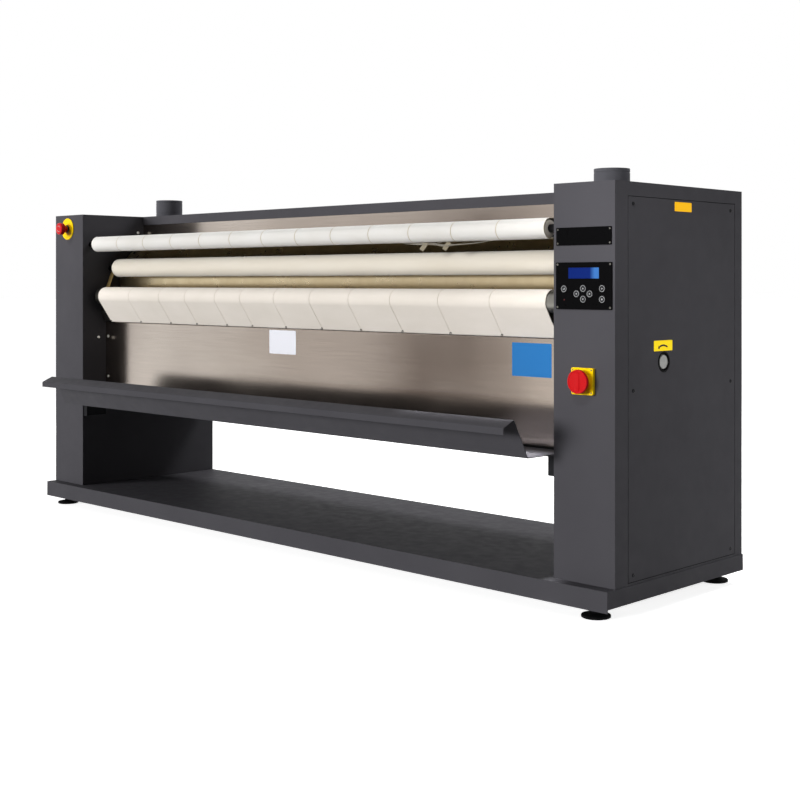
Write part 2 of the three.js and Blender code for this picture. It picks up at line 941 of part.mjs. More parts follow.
add(bodywork, "top_cover", topCover(), "paint");
add(bodywork, "rear_cover", rearCover(), "paint");
add(
  bodywork,
  "bottom_pan",
  block(
    -panelHalfLength,
    panelHalfLength,
    lowerPanelY + stainlessSheet + seatGap,
    beamRearY,
    lowerPanelBottom,
    lowerPanelBottom + sheet,
  ),
  "paint",
);
add(
  bodywork,
  "upper_panel",
  block(
    -panelHalfLength,
    panelHalfLength,
    beamFrontY + sheet + seatGap,
    beamFrontY + sheet + seatGap + stainlessSheet,
    upperPanelBottom,
    upperPanelTop,
  ),
  "stainless",
);
add(bodywork, "lower_panel", lowerPanel(), "stainless");
add(bodywork, "linen_tray", linenTray(), "paint");
add(bodywork, "left_tray_bracket", trayBracket(sides.left), "darkPaint");
add(bodywork, "right_tray_bracket", trayBracket(sides.right), "darkPaint");

// ---------------------------------------------------------------- exhaust ducts and fans

function exhaustDuct() {
  const tube = ring("z", ductRadius - ductWall, ductRadius, ductBottom, ductTop);
  const flange = ring(
    "z",
    ductRadius - ductWall / 2,
    ductFlangeRadius,
    beamUnderside - seatGap - ductFlangeThickness,
    beamUnderside - seatGap,
  );
  const bore = [fanShaftRadius + runningGap, fanMotorTop - fanShaftDepth, fanMotorTop + cutMargin];
  const motor = cut(rod("z", fanMotorRadius, fanMotorBottom, fanMotorTop), [
    hole("z", ...bore, smallSides),
  ]);
  const arms = [];
  for (let i = 0; i < fanArmCount; i++) {
    const arm = block(
      fanMotorRadius - fanArmWidth / 2,
      ductRadius - ductWall / 2,
      -fanArmWidth / 2,
      fanArmWidth / 2,
      fanMotorBottom,
      fanMotorBottom + fanArmHeight,
    );
    arms.push(arm.rotateZ((i * 2 * Math.PI) / fanArmCount));
  }
  return join([tube, flange, ...arms, motor]);
}

function exhaustFan() {
  const hubBottom = fanMotorTop + fanHubGap;
  const hub = turned(
    "z",
    [
      [0, fanMotorTop - fanShaftDepth + runningGap],
      [fanShaftRadius, fanMotorTop - fanShaftDepth + runningGap],
      [fanShaftRadius, hubBottom],
      [fanMotorRadius, hubBottom],
      [fanMotorRadius, hubBottom + fanHubHeight],
      [0, hubBottom + fanHubHeight],
    ],
    smallSides,
  );
  const blades = [];
  for (let i = 0; i < fanBladeCount; i++) {
    const blade = block(
      fanMotorRadius - fanBladeThickness,
      fanTipRadius,
      -fanBladeWidth / 2,
      fanBladeWidth / 2,
      -fanBladeThickness / 2,
      fanBladeThickness / 2,
    );
    blade.rotateX(THREE.MathUtils.degToRad(fanBladePitchDegrees));
    blade.translate(0, 0, hubBottom + fanHubHeight / 2);
    blades.push(blade.rotateZ((i * 2 * Math.PI) / fanBladeCount));
  }
  return join([hub, ...blades]);
}

for (const [name, side] of Object.entries(sides)) {
  add(bodywork, `${name}_exhaust_duct`, exhaustDuct(), "darkPaint", [side * ductX, ductY, 0]);
  add(bodywork, `${name}_exhaust_fan`, exhaustFan(), "blackPlastic", [side * ductX, ductY, 0]);
}

// ---------------------------------------------------------------- heated cylinder

const leftJournalEnd = -(sideFrameOuterX + leftJournalReach);
const rightJournalEnd = sideFrameOuterX + rightJournalReach;

function heatedCylinder() {
  const face = innerFaceX - cylinderEndGap;
  const inside = face - cylinderEndDisc;
  const boreCorner = journalBore / Math.cos(Math.PI / finestSides);
  const wallCorner = (cylinderRadius - cylinderWall) / Math.cos(Math.PI / finestSides);
  const profile = [
    [boreCorner, leftJournalEnd],
    [journalRadius, leftJournalEnd],
    [journalRadius, -face],
    [cylinderRadius, -face],
    [cylinderRadius, face],
    [journalRadius, face],
    [journalRadius, rightJournalEnd],
    [boreCorner, rightJournalEnd],
    [boreCorner, inside],
    [wallCorner, inside],
    [wallCorner, -inside],
    [boreCorner, -inside],
    [boreCorner, leftJournalEnd],
  ];
  return turned("x", profile, finestSides);
}

// The stationary core runs through both hollow journals and holds the heating rods on discs.
function heatingElements() {
  const coreLeft = -(electricalBoxInnerX + elementLeftReach);
  const sleeve = journalBore - runningGap;
  const sleeveStart = innerFaceX - cylinderEndGap - 2 * cylinderEndDisc;
  const profile = [
    [0, coreLeft],
    [sleeve, coreLeft],
    [sleeve, -sleeveStart],
    [elementCoreRadius, -sleeveStart],
    [elementCoreRadius, sleeveStart],
    [sleeve, sleeveStart],
    [sleeve, rightJournalEnd],
    [0, rightJournalEnd],
  ];
  const pieces = [turned("x", profile, smallSides)];
  const half = innerFaceX - elementEndGap;
  for (let i = 0; i < elementSpiderCount; i++) {
    const x = half * ((2 * i) / (elementSpiderCount - 1) - 1);
    const [start, end] = [x - elementSpiderThickness / 2, x + elementSpiderThickness / 2];
    pieces.push(rod("x", elementSpiderRadius, start, end, smallSides));
  }
  for (let i = 0; i < elementCount; i++) {
    const angle = (i * 2 * Math.PI) / elementCount;
    const reach = half + elementSpiderThickness * 2;
    pieces.push(
      rod("x", elementRadius, -reach, reach, fewSides).translate(
        0,
        elementCircle * Math.cos(angle),
        elementCircle * Math.sin(angle),
      ),
    );
  }
  return join(pieces);
}

function cylinderBearing(side) {
  const bore = (journalRadius + runningGap) / Math.cos(Math.PI / roundSides);
  const outer = bearingWidth;
  const profile = [
    [bore, 0],
    [bearingRadius, 0],
    [bearingRadius, bearingFlangeThickness],
    [bearingHousingRadius, bearingFlangeThickness],
    [bearingHousingRadius, outer],
    [bore, outer],
    [bore, 0],
  ];
  const bearing = turned("x", profile);
  if (side < 0) bearing.rotateZ(Math.PI);
  return bearing;
}

add(rollers, "heated_cylinder", heatedCylinder(), "polishedSteel", [0, cylinderY, cylinderZ]);
add(rollers, "heating_elements", heatingElements(), "steel", [0, cylinderY, cylinderZ]);
for (const [name, side] of Object.entries(sides)) {
  add(rollers, `${name}_cylinder_bearing`, cylinderBearing(side), "castIron", [
    side * bearingInnerX,
    cylinderY,
    cylinderZ,
  ]);
}

// ---------------------------------------------------------------- rollers and bands

function roller({ radius, endGap, shaftRadius }, flats) {
  const halfLength = innerFaceX - endGap;
  const profile = [
    [0, -shaftEndX],
    [shaftRadius, -shaftEndX],
    [shaftRadius, -halfLength],
    [radius, -halfLength],
    [radius, halfLength],
    [shaftRadius, halfLength],
    [shaftRadius, shaftEndX],
    [0, shaftEndX],
  ];
  return turned("x", profile, flats);
}

const rollerList = [
  ["top_roller", topRoller, "steel", roundSides],
  ["press_roller", pressRoller, "creamCloth", roundSides],
  ["feed_roller", feedRoller, "steel", roundSides],
  ["front_guide_roller", frontGuide, "steel", smallSides],
  ["lower_guide_roller", lowerGuide, "steel", smallSides],
  ["upper_guide_roller", upperGuide, "steel", smallSides],
];
for (const [name, size, finish, flats] of rollerList) {
  add(rollers, name, roller(size, flats), finish, [0, size.y, size.z]);
}

const insideLoop = ({ y, z, radius }) => ({ y, z, radius: radius + runningGap });
const ironingWheels = [
  insideLoop(topRoller),
  {
    y: cylinderY,
    z: cylinderZ,
    radius: -(cylinderRadius + runningGap + bandThickness),
    step: wideStepAngle,
  },
  insideLoop(frontGuide),
  insideLoop(lowerGuide),
  insideLoop(upperGuide),
];
const feedWheels = [
  insideLoop(feedRoller),
  { y: noseY, z: noseZ, radius: noseRadius + runningGap, step: 2 * stepAngle },
];

// The nose bar lies inside the bottom fold of the feed bands and points at the feed roller.
function noseBar() {
  const towardsRoller = Math.atan2(feedRoller.z - noseZ, feedRoller.y - noseY);
  const along = [Math.cos(towardsRoller), Math.sin(towardsRoller)];
  const points = [];
  for (let turn = 0; turn <= Math.PI; turn += stepAngle) {
    const angle = towardsRoller + Math.PI / 2 + turn;
    points.push([noseY + noseRadius * Math.cos(angle), noseZ + noseRadius * Math.sin(angle)]);
  }
  for (const side of [1, -1]) {
    points.push([
      noseY + along[0] * noseBarDepth + side * along[1] * noseRadius,
      noseZ + along[1] * noseBarDepth - side * along[0] * noseRadius,
    ]);
  }
  return drawnOut(points, -panelHalfLength, panelHalfLength);
}

add(
  rollers,
  "ironing_bands",
  loopBand(
    ironingWheels,
    bandStations(Array(ironingBandCount).fill(1), innerFaceX - ironingBandEndGap),
  ),
  "whiteCloth",
);
add(
  rollers,
  "feed_bands",
  loopBand(feedWheels, bandStations(feedBandShares, innerFaceX - feedBandEndGap)),
  "creamCloth",
);
add(rollers, "nose_bar", noseBar(), "steel");

// ---------------------------------------------------------------- drive in the right pedestal

const pitchRadius = (teeth) => chainPitch / (2 * Math.sin(Math.PI / teeth));

function sprocket(teeth) {
  const middle = pitchRadius(teeth);
  const points = [];
  const toothShape = [
    [-toothRootShare, middle - toothRoot],
    [-toothTipShare, middle + toothHeight],
    [toothTipShare, middle + toothHeight],
    [toothRootShare, middle - toothRoot],
  ];
  for (let i = 0; i < teeth; i++) {
    for (const [share, radius] of toothShape) {
      const angle = ((i + share) * 2 * Math.PI) / teeth;
      points.push([radius * Math.cos(angle), radius * Math.sin(angle)]);
    }
  }
  return drawnOut(points, sprocketX - sprocketThickness / 2, sprocketX + sprocketThickness / 2);
}

function cylinderSprocket() {
  const [start, end] = [sprocketX - sprocketHubWidth / 2, sprocketX + sprocketHubWidth / 2];
  const hub = rod("x", sprocketHubRadius, start, end);
  const bore = hole("x", journalRadius + seatGap, start - cutMargin, end + cutMargin);
  return cut(join([sprocket(cylinderTeeth), hub]), [bore]);
}

function driveShaft() {
  const shaft = turned("x", [
    [0, bearingInnerX],
    [driveShaftRadius, bearingInnerX],
    [driveShaftRadius, crankDiscOuterX - crankDiscThickness],
    [crankDiscRadius, crankDiscOuterX - crankDiscThickness],
    [crankDiscRadius, crankDiscOuterX],
    [0, crankDiscOuterX],
  ]);
  return join([shaft, sprocket(driveTeeth)]);
}

// The chain's side plates run on both sides of the sprockets. Every second pin of the straight
// runs is there; on the sprockets the teeth take the pins' place.
function driveChain() {
  const chainWheels = [
    { y: cylinderY, z: cylinderZ, radius: pitchRadius(cylinderTeeth) - chainPlateHeight / 2 },
    { y: driveShaftY, z: driveShaftZ, radius: pitchRadius(driveTeeth) - chainPlateHeight / 2 },
  ];
  const plateStart = sprocketThickness / 2 + runningGap;
  const plateEnd = plateStart + chainPlateThickness;
  const strips = [-1, 1].map((side) => {
    const edges = [sprocketX + side * plateStart, sprocketX + side * plateEnd].sort((a, b) => a - b);
    return loopBand(
      chainWheels,
      edges.map((x) => [x, chainPlateHeight]),
    );
  });
  const between = Math.hypot(cylinderY - driveShaftY, cylinderZ - driveShaftZ);
  const lean = Math.asin((pitchRadius(cylinderTeeth) - pitchRadius(driveTeeth)) / between);
  const bearing = Math.atan2(cylinderZ - driveShaftZ, cylinderY - driveShaftY);
  const clearOf = (teeth) => {
    const tip = pitchRadius(teeth) + toothHeight + chainPinRadius + runningGap;
    return Math.sqrt(tip ** 2 - pitchRadius(teeth) ** 2);
  };
  const run = between * Math.cos(lean);
  const pins = [];
  for (const side of [-1, 1]) {
    const heading = bearing + side * lean;
    const normal = heading + (side * Math.PI) / 2;
    const startY = driveShaftY + pitchRadius(driveTeeth) * Math.cos(normal);
    const startZ = driveShaftZ + pitchRadius(driveTeeth) * Math.sin(normal);
    const lastPin = run - clearOf(cylinderTeeth);
    for (let along = clearOf(driveTeeth); along < lastPin; along += 2 * chainPitch) {
      const pin = rod("x", chainPinRadius, sprocketX - plateEnd, sprocketX + plateEnd, fewSides);
      const [y, z] = [startY + along * Math.cos(heading), startZ + along * Math.sin(heading)];
      pins.push(pin.translate(0, y, z));
    }
  }
  return join([...strips, ...pins]);
}

function gearbox() {
  const bottom = driveShelfTop + seatGap;
  const half = gearboxDepth / 2;
  const c = gearboxChamfer;
  const section = [
    [driveShaftY - half, bottom],
    [driveShaftY + half, bottom],
    [driveShaftY + half, gearboxTop - c],
    [driveShaftY + half - c, gearboxTop],
    [driveShaftY - half + c, gearboxTop],
    [driveShaftY - half, gearboxTop - c],
  ];
  const bore = hole(
    "x",
    driveShaftRadius + runningGap,
    gearboxInnerX - cutMargin,
    gearboxOuterX + cutMargin,
  ).translate(0, driveShaftY, driveShaftZ);
  return cut(drawnOut(section, gearboxInnerX, gearboxOuterX), [bore]);
}

function driveMotor() {
  const flangeTop = driveShelfTop - driveShelfThickness - seatGap;
  const bottom = flangeTop - motorLength;
  const body = turned("z", [
    [0, bottom],
    [motorCowlRadius, bottom],
    [motorCowlRadius, bottom + motorCowlLength],
    [motorRadius, bottom + motorCowlLength],
    [motorRadius, flangeTop - motorFlangeThickness],
    [motorFlangeRadius, flangeTop - motorFlangeThickness],
    [motorFlangeRadius, flangeTop],
    [motorSpigotRadius, flangeTop],
    [motorSpigotRadius, driveShelfTop],
    [0, driveShelfTop],
  ]);
  const middle = (bottom + flangeTop) / 2;
  const terminalBox = block(
    -motorBoxWidth / 2,
    motorBoxWidth / 2,
    0,
    motorRadius + motorBoxDepth,
    middle - motorBoxHeight / 2,
    middle + motorBoxHeight / 2,
  );
  return join([body, terminalBox]);
}

// The grommet lines the hand-crank port in the right door.
function crankPortGrommet() {
  const bore = crankPortRadius / Math.cos(Math.PI / roundSides);
  const through = crankPortRadius + grommetLip / 2 - seatGap;
  const profile = [
    [bore, outerFaceX - sheet - seatGap],
    [through, outerFaceX - sheet - seatGap],
    [through, outerFaceX + seatGap],
    [crankPortRadius + grommetLip, outerFaceX + seatGap],
    [crankPortRadius + grommetLip, outerFaceX + grommetProud],
    [bore, outerFaceX + grommetProud],
    [bore, outerFaceX - sheet - seatGap],
  ];
  return turned("x", profile);
}

add(drive, "cylinder_sprocket", cylinderSprocket(), "steel", [0, cylinderY, cylinderZ]);
add(drive, "drive_shaft", driveShaft(), "steel", [0, driveShaftY, driveShaftZ]);
add(drive, "drive_chain", driveChain(), "steel");
add(drive, "gearbox", gearbox(), "castIron");
add(drive, "drive_motor", driveMotor(), "greyPlastic", [motorX, driveShaftY, 0]);
add(drive, "crank_port_grommet", crankPortGrommet(), "rubber", [0, driveShaftY, driveShaftZ]);

// ---------------------------------------------------------------- electrical box and gland

function electricalBox() {
  const box = block(
    -electricalBoxInnerX,
    -electricalBoxOuterX,
    electricalBoxFrontY,
    electricalBoxRearY,
    electricalBoxBottom,
    electricalBoxTop,
  );
  const length = [-(electricalBoxInnerX + fusing), -bearingInnerX];
  const standoffs = [];
  for (const y of [electricalBoxFrontY + standoffInset, electricalBoxRearY - standoffInset]) {
    for (const z of [electricalBoxBottom + standoffInset, electricalBoxTop - standoffInset]) {
      standoffs.push(rod("x", standoffRadius, ...length, smallSides).translate(0, y, z));
    }
  }
  const coreHole = hole(
    "x",
    journalBore,
    -(electricalBoxInnerX + elementLeftReach + seatGap),
    -(electricalBoxInnerX - cutMargin),
  ).translate(0, cylinderY, cylinderZ);
  return cut(join([box, ...standoffs]), [coreHole]);
}

function mainsGland() {
  const insideFace = pedestalDepth - sheet - seatGap;
  const outsideFace = pedestalDepth + seatGap;
  const profile = [
    [glandBore, insideFace - glandNutLength],
    [glandNutRadius, insideFace - glandNutLength],
    [glandNutRadius, insideFace],
    [glandThreadRadius, insideFace],
    [glandThreadRadius, outsideFace],
    [glandHexRadius, outsideFace],
    [glandHexRadius, pedestalDepth + glandHexLength],
    [glandBore, pedestalDepth + glandHexLength],
    [glandBore, insideFace - glandNutLength],
  ];
  return turned("y", profile, smallSides);
}

add(controls, "electrical_box", electricalBox(), "greyPlastic");
add(controls, "mains_gland", mainsGland(), "blackPlastic", [glandX, 0, glandZ]);

// ---------------------------------------------------------------- keypad

const keypadBackY = -seatGap;
const keypadFaceY = keypadBackY - keypadThickness;

function keypadPlate() {
  const plate = block(
    keypadX - keypadWidth / 2,
    keypadX + keypadWidth / 2,
    keypadFaceY,
    keypadBackY,
    keypadZ - keypadHeight / 2,
    keypadZ + keypadHeight / 2,
  );
  const span = [keypadFaceY - cutMargin, keypadBackY + cutMargin];
  const buttonHoles = Object.values(buttonOffsets).map(([x, z]) =>
    hole("y", buttonRadius + runningGap, ...span, smallSides).translate(keypadX + x, 0, keypadZ + z),
  );
  const displayWindow = block(
    keypadX - displayWidth / 2,
    keypadX + displayWidth / 2,
    ...span,
    displayZ - displayHeight / 2,
    displayZ + displayHeight / 2,
  );
  return cut(plate, [...buttonHoles, displayWindow]);
}

// The display and the circuit board behind it are one module.
function displayModule() {
  const halfWidth = displayWidth / 2 - seatGap;
  const halfHeight = displayHeight / 2 - seatGap;
  const boardFrontY = keypadFaceY + seatGap + displayDepth;
  const screen = block(
    keypadX - halfWidth,
    keypadX + halfWidth,
    keypadFaceY + seatGap,
    boardFrontY + boardThickness / 2,
    displayZ - halfHeight,
    displayZ + halfHeight,
  );
  const margin = keypadWindowMargin + boardMargin;
  const board = block(
    keypadX - keypadWidth / 2 + margin,
    keypadX + keypadWidth / 2 - margin,
    boardFrontY,
    boardFrontY + boardThickness,
    keypadZ - keypadHeight / 2 + margin,
    keypadZ + keypadHeight / 2 - margin,
  );
  return join([screen, board]);
}

function keypadButton() {
  const flangeFront = keypadBackY + runningGap;
  const profile = [
    [0, keypadFaceY - buttonProud],
    [buttonRadius, keypadFaceY - buttonProud],
    [buttonRadius, flangeFront],
    [buttonFlangeRadius, flangeFront],
    [buttonFlangeRadius, flangeFront + buttonFlangeThickness],
    [0, flangeFront + buttonFlangeThickness],
  ];
  return turned("y", profile, smallSides);
}

add(controls, "keypad_plate", keypadPlate(), "blackPlastic");
add(controls, "display_module", displayModule(), "display");
for (const [name, [x, z]] of Object.entries(buttonOffsets)) {
  add(controls, name, keypadButton(), "greyPlastic", [keypadX + x, 0, keypadZ + z]);
}

// ---------------------------------------------------------------- main switch

const switchFaceY = -seatGap - switchPlateThickness;
const switchBore = hole(
  "y",
  switchShaftRadius + runningGap,
  switchFaceY - cutMargin,
  sheet + switchBodyDepth,
  smallSides,
).translate(switchX, 0, switchZ);

function switchPlate() {
  const plate = block(
    switchX - switchPlateWidth / 2,
    switchX + switchPlateWidth / 2,
    switchFaceY,
    -seatGap,
    switchZ - switchPlateHeight / 2,
    switchZ + switchPlateHeight / 2,
  );
  return cut(plate, [switchBore]);
}

function switchBody() {
  const half = switchBodySize / 2;
  const front = sheet + seatGap;
  const body = block(
    switchX - half,
    switchX + half,
    front,
    front + switchBodyDepth,
    switchZ - half,
    switchZ + half,
  );
  return cut(body, [switchBore]);
}

function switchKnob() {
  const back = switchFaceY - runningGap;
  const front = back - switchKnobDepth;
  const profile = [
    [0, front],
    [switchKnobRadius - switchKnobChamfer, front],
    [switchKnobRadius, front + switchKnobChamfer],
    [switchKnobRadius, front + switchKnobRim],
    [switchKnobNeck, front + switchKnobRim],
    [switchKnobNeck, back],
    [switchShaftRadius, back],
    [switchShaftRadius, switchShaftDepth],
    [0, switchShaftDepth],
  ];
  return turned("y", profile);
}

add(controls, "main_switch_plate", switchPlate(), "yellowPlastic");
add(controls, "main_switch_body", switchBody(), "blackPlastic");
add(controls, "main_switch_knob", switchKnob(), "redPlastic", [switchX, 0, switchZ]);

// ---------------------------------------------------------------- emergency stop

const stopPlateFaceY = -seatGap - stopPlateThickness;
const stopCollarFaceY = stopPlateFaceY - seatGap - stopCollarDepth;
const stopHeadBackY = stopCollarFaceY - stopTravel - runningGap;
const stopHeadFrontY = stopHeadBackY - stopHeadDepth;
const stopStemEndY = stopHeadBackY + stopStemLength;

function stopPlate() {
  return ring("y", stopBarrelRadius + seatGap, stopPlateRadius, stopPlateFaceY, -seatGap);
}

function stopBody() {
  const barrelEnd = sheet + seatGap;
  const outside = turned("y", [
    [0, stopCollarFaceY],
    [stopCollarRadius, stopCollarFaceY],
    [stopCollarRadius, stopPlateFaceY - seatGap],
    [stopBarrelRadius, stopPlateFaceY - seatGap],
    [stopBarrelRadius, barrelEnd + fusing],
    [0, barrelEnd + fusing],
  ]);
  const half = stopBlockSize / 2;
  const contactBlock = block(-half, half, barrelEnd, barrelEnd + stopBlockDepth, -half, half);
  const bore = hole(
    "y",
    stopStemRadius + runningGap,
    stopCollarFaceY - cutMargin,
    stopStemEndY + stopTravel + runningGap,
    smallSides,
  );
  return cut(join([outside, contactBlock]), [bore]);
}

// The stem slides in the body; the mushroom head turns on the stem's front end to let it out.
function stopStem() {
  const profile = [
    [0, stopHeadBackY - stopSpigotDepth],
    [stopSpigotRadius, stopHeadBackY - stopSpigotDepth],
    [stopSpigotRadius, stopHeadBackY + runningGap],
    [stopStemRadius, stopHeadBackY + runningGap],
    [stopStemRadius, stopStemEndY],
    [0, stopStemEndY],
  ];
  return turned("y", profile, smallSides);
}

function stopHead() {
  const head = turned("y", [
    [0, stopHeadFrontY],
    [stopHeadFaceRadius, stopHeadFrontY],
    [stopHeadRadius, stopHeadFrontY + stopHeadFrontBevel],
    [stopHeadRadius, stopHeadBackY - stopHeadRearBevel],
    [stopHeadNeck, stopHeadBackY],
    [0, stopHeadBackY],
  ]);
  const socket = hole(
    "y",
    stopSpigotRadius + runningGap,
    stopHeadBackY - stopSpigotDepth - runningGap,
    stopHeadBackY + cutMargin,
    smallSides,
  );
  return cut(head, [socket]);
}

add(controls, "emergency_stop_plate", stopPlate(), "yellowPlastic", [stopX, 0, stopZ]);
add(controls, "emergency_stop_body", stopBody(), "blackPlastic", [stopX, 0, stopZ]);
add(controls, "emergency_stop_stem", stopStem(), "steel", [stopX, 0, stopZ]);
add(controls, "emergency_stop_head", stopHead(), "redPlastic", [stopX, 0, stopZ]);

// ---------------------------------------------------------------- origin

machine.position.y = -(machineFrontY + machineRearY) / 2;

export default machine;
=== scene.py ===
"""A flatwork ironer dressed for rendering: its finishes, its cloth and its fine detail.

Metres. X runs along the machine, Y from the operator to the back, Z up from the floor.
"""

import math
import random

import bmesh
import bpy
from mathutils import Matrix, Vector


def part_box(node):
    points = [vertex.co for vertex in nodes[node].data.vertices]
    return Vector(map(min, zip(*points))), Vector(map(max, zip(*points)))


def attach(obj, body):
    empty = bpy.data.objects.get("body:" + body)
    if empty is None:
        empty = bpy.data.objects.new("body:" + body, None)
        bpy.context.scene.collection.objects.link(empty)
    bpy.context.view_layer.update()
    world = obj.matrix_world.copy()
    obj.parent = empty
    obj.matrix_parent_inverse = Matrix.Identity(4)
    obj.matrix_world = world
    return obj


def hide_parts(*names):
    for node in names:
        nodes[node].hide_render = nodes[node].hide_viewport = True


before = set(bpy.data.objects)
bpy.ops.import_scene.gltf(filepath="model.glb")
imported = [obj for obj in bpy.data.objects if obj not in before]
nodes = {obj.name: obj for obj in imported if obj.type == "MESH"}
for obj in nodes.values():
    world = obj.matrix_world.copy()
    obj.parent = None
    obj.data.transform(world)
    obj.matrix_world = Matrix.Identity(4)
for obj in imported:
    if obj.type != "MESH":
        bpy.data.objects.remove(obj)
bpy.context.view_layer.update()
scene = bpy.context.scene
MM = 0.001

# ---------------------------------------------------------------- the photograph's camera

PHOTO_SIDE = 800  # pixels
HORIZON_ROW = 281.9  # the row at the camera's height
CAMERA_PLACE = (3.5779, -3.2666, 0.9386)
CAMERA_HEADING = 0.7753  # turned left from looking along +Y
CAMERA_LENS = 59.607  # mm
SENSOR_WIDTH = 36  # mm

camera_data = bpy.data.cameras.new("camera")
camera_data.lens = CAMERA_LENS
camera_data.sensor_width = SENSOR_WIDTH
camera_data.shift_y = -(PHOTO_SIDE / 2 - HORIZON_ROW) / PHOTO_SIDE
camera = bpy.data.objects.new("camera", camera_data)
camera.location = CAMERA_PLACE
camera.rotation_euler = (math.pi / 2, 0, CAMERA_HEADING)
scene.collection.objects.link(camera)
scene.camera = camera
scene.view_settings.view_transform = "Standard"

# ---------------------------------------------------------------- places that come from the frame

FRONT_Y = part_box("right_pedestal_shell")[0].y  # the front faces of both pedestals
SIDE_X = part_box("right_service_door")[1].x  # the outer face of the right door
INNER_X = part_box("right_pedestal_shell")[0].x  # the pedestals' faces towards the rollers
PANEL_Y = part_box("lower_panel")[0].y
REAR_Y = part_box("rear_cover")[1].y
IRONING_WIDTHS = [183] * 13  # mm, band by band
FEED_WIDTHS = [220, 206, 170, 187, 151, 190, 192, 197, 197, 213, 213, 216]  # mm, as photographed
IRONING_GAP = 0.6 * MM
FEED_GAP = 0.5 * MM


def middle_of(node):
    """The middle of a CAD node's box."""
    low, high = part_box(node)
    return (low + high) / 2


def seams_between(widths):
    """Where bands of those widths meet along X, with both outer edges, in metres."""
    places = [-sum(widths) / 2 * MM]
    for width in widths:
        places.append(places[-1] + width * MM)
    return places


# ---------------------------------------------------------------- materials


def colour(code):
    """A #rrggbb colour as the linear RGBA that the shaders take."""
    parts = [int(code[i : i + 2], 16) / 255 for i in (1, 3, 5)]
    return (*[c / 12.92 if c <= 0.04045 else ((c + 0.055) / 1.055) ** 2.4 for c in parts], 1)


def add_node(tree, kind, inputs=None, **settings):
    """Adds a node. An input's value is a number, a colour or another node's output."""
    made = tree.nodes.new(kind)
    for name, value in settings.items():
        setattr(made, name, value)
    for name, value in (inputs or {}).items():
        if isinstance(value, bpy.types.NodeSocket):
            tree.links.new(value, made.inputs[name])
        else:
            made.inputs[name].default_value = value
    return made


def start_material(name, base, roughness, **sockets):
    """A material with one principled shader, whose even values are set on its own sockets."""
    material = bpy.data.materials.new(name)
    material.use_nodes = True
    shader = material.node_tree.nodes["Principled BSDF"]
    shader.inputs["Base Color"].default_value = colour(base)
    shader.inputs["Roughness"].default_value = roughness
    for socket, value in sockets.items():
        shader.inputs[socket.replace("_", " ")].default_value = value
    return material, material.node_tree, shader


def noise_over(tree, size_mm, detail=2.0):
    """Noise whose grains are size_mm wide along X, Y and Z of the object."""
    place = add_node(tree, "ShaderNodeTexCoord").outputs["Object"]
    scale = [1 / (s * MM) for s in size_mm]
    mapped = add_node(tree, "ShaderNodeMapping", {"Vector": place, "Scale": scale})
    grains = {"Vector": mapped.outputs["Vector"], "Scale": 1.0, "Detail": detail}
    return add_node(tree, "ShaderNodeTexNoise", grains).outputs["Fac"]


def blend_colours(tree, share, first, second):
    """The first colour where share is 0, the second where it is 1."""
    mixed = add_node(tree, "ShaderNodeMix", {0: share, 6: first, 7: second}, data_type="RGBA")
    return mixed.outputs[2]


def calculate(tree, operation, first, second):
    """One sum of two values, such as MULTIPLY or MAXIMUM."""
    sums = add_node(tree, "ShaderNodeMath", {0: first, 1: second}, operation=operation)
    return sums.outputs[0]


def ramp(tree, value, start, end, low=0.0, high=1.0):
    """Goes from low to high while the value goes from start to end, and stays level beyond."""
    limits = {"Value": value, "From Min": start, "From Max": end, "To Min": low, "To Max": high}
    return add_node(tree, "ShaderNodeMapRange", limits).outputs["Result"]


def spread_range(tree, noise, low, high):
    """The noise's useful middle, 0.3 to 0.7, spread over low to high."""
    return ramp(tree, noise, 0.3, 0.7, low, high)


def object_place(tree):
    """The place on the object as X, Y and Z, in metres."""
    place = add_node(tree, "ShaderNodeTexCoord").outputs["Object"]
    return add_node(tree, "ShaderNodeSeparateXYZ", {0: place}).outputs


def mottle(tree, noise, base, shade):
    """A colour that drifts between the codes base and shade as the noise does."""
    return blend_colours(tree, spread_range(tree, noise, 0.0, 1.0), colour(base), colour(shade))


def vary_roughness(tree, shader, noise, low, high):
    """Lets the shader's roughness drift between low and high as the noise does."""
    tree.links.new(spread_range(tree, noise, low, high), shader.inputs["Roughness"])


def emboss(tree, shader, height, depth_mm, strength=1.0, below=None):
    """Feeds a height of 0 to 1 into the shader as relief that is depth_mm deep. It may lie over
    the relief below."""
    relief = {"Height": height, "Distance": depth_mm * MM, "Strength": strength}
    if below is not None:
        relief["Normal"] = below
    bump = add_node(tree, "ShaderNodeBump", relief).outputs["Normal"]
    tree.links.new(bump, shader.inputs["Normal"])
    return bump


def powder_coat(name, base, shade, roughness):
    """Polyester powder coat, baked on sheet steel: an even satin skin with an orange peel 1.6 mm
    wide, a tone that is slightly cloudy over 260 mm, and a gloss dulled here and there by dust."""
    material, tree, shader = start_material(name, base, roughness, Specular_IOR_Level=0.06)
    cloud = noise_over(tree, (260, 260, 260))
    peel = noise_over(tree, (1.6, 1.6, 1.6), detail=3.0)
    dust = noise_over(tree, (34, 34, 34), detail=4.0)
    tree.links.new(mottle(tree, cloud, base, shade), shader.inputs["Base Color"])
    vary_roughness(tree, shader, dust, roughness - 0.05, roughness + 0.07)
    emboss(tree, shader, peel, 0.07)
    return material


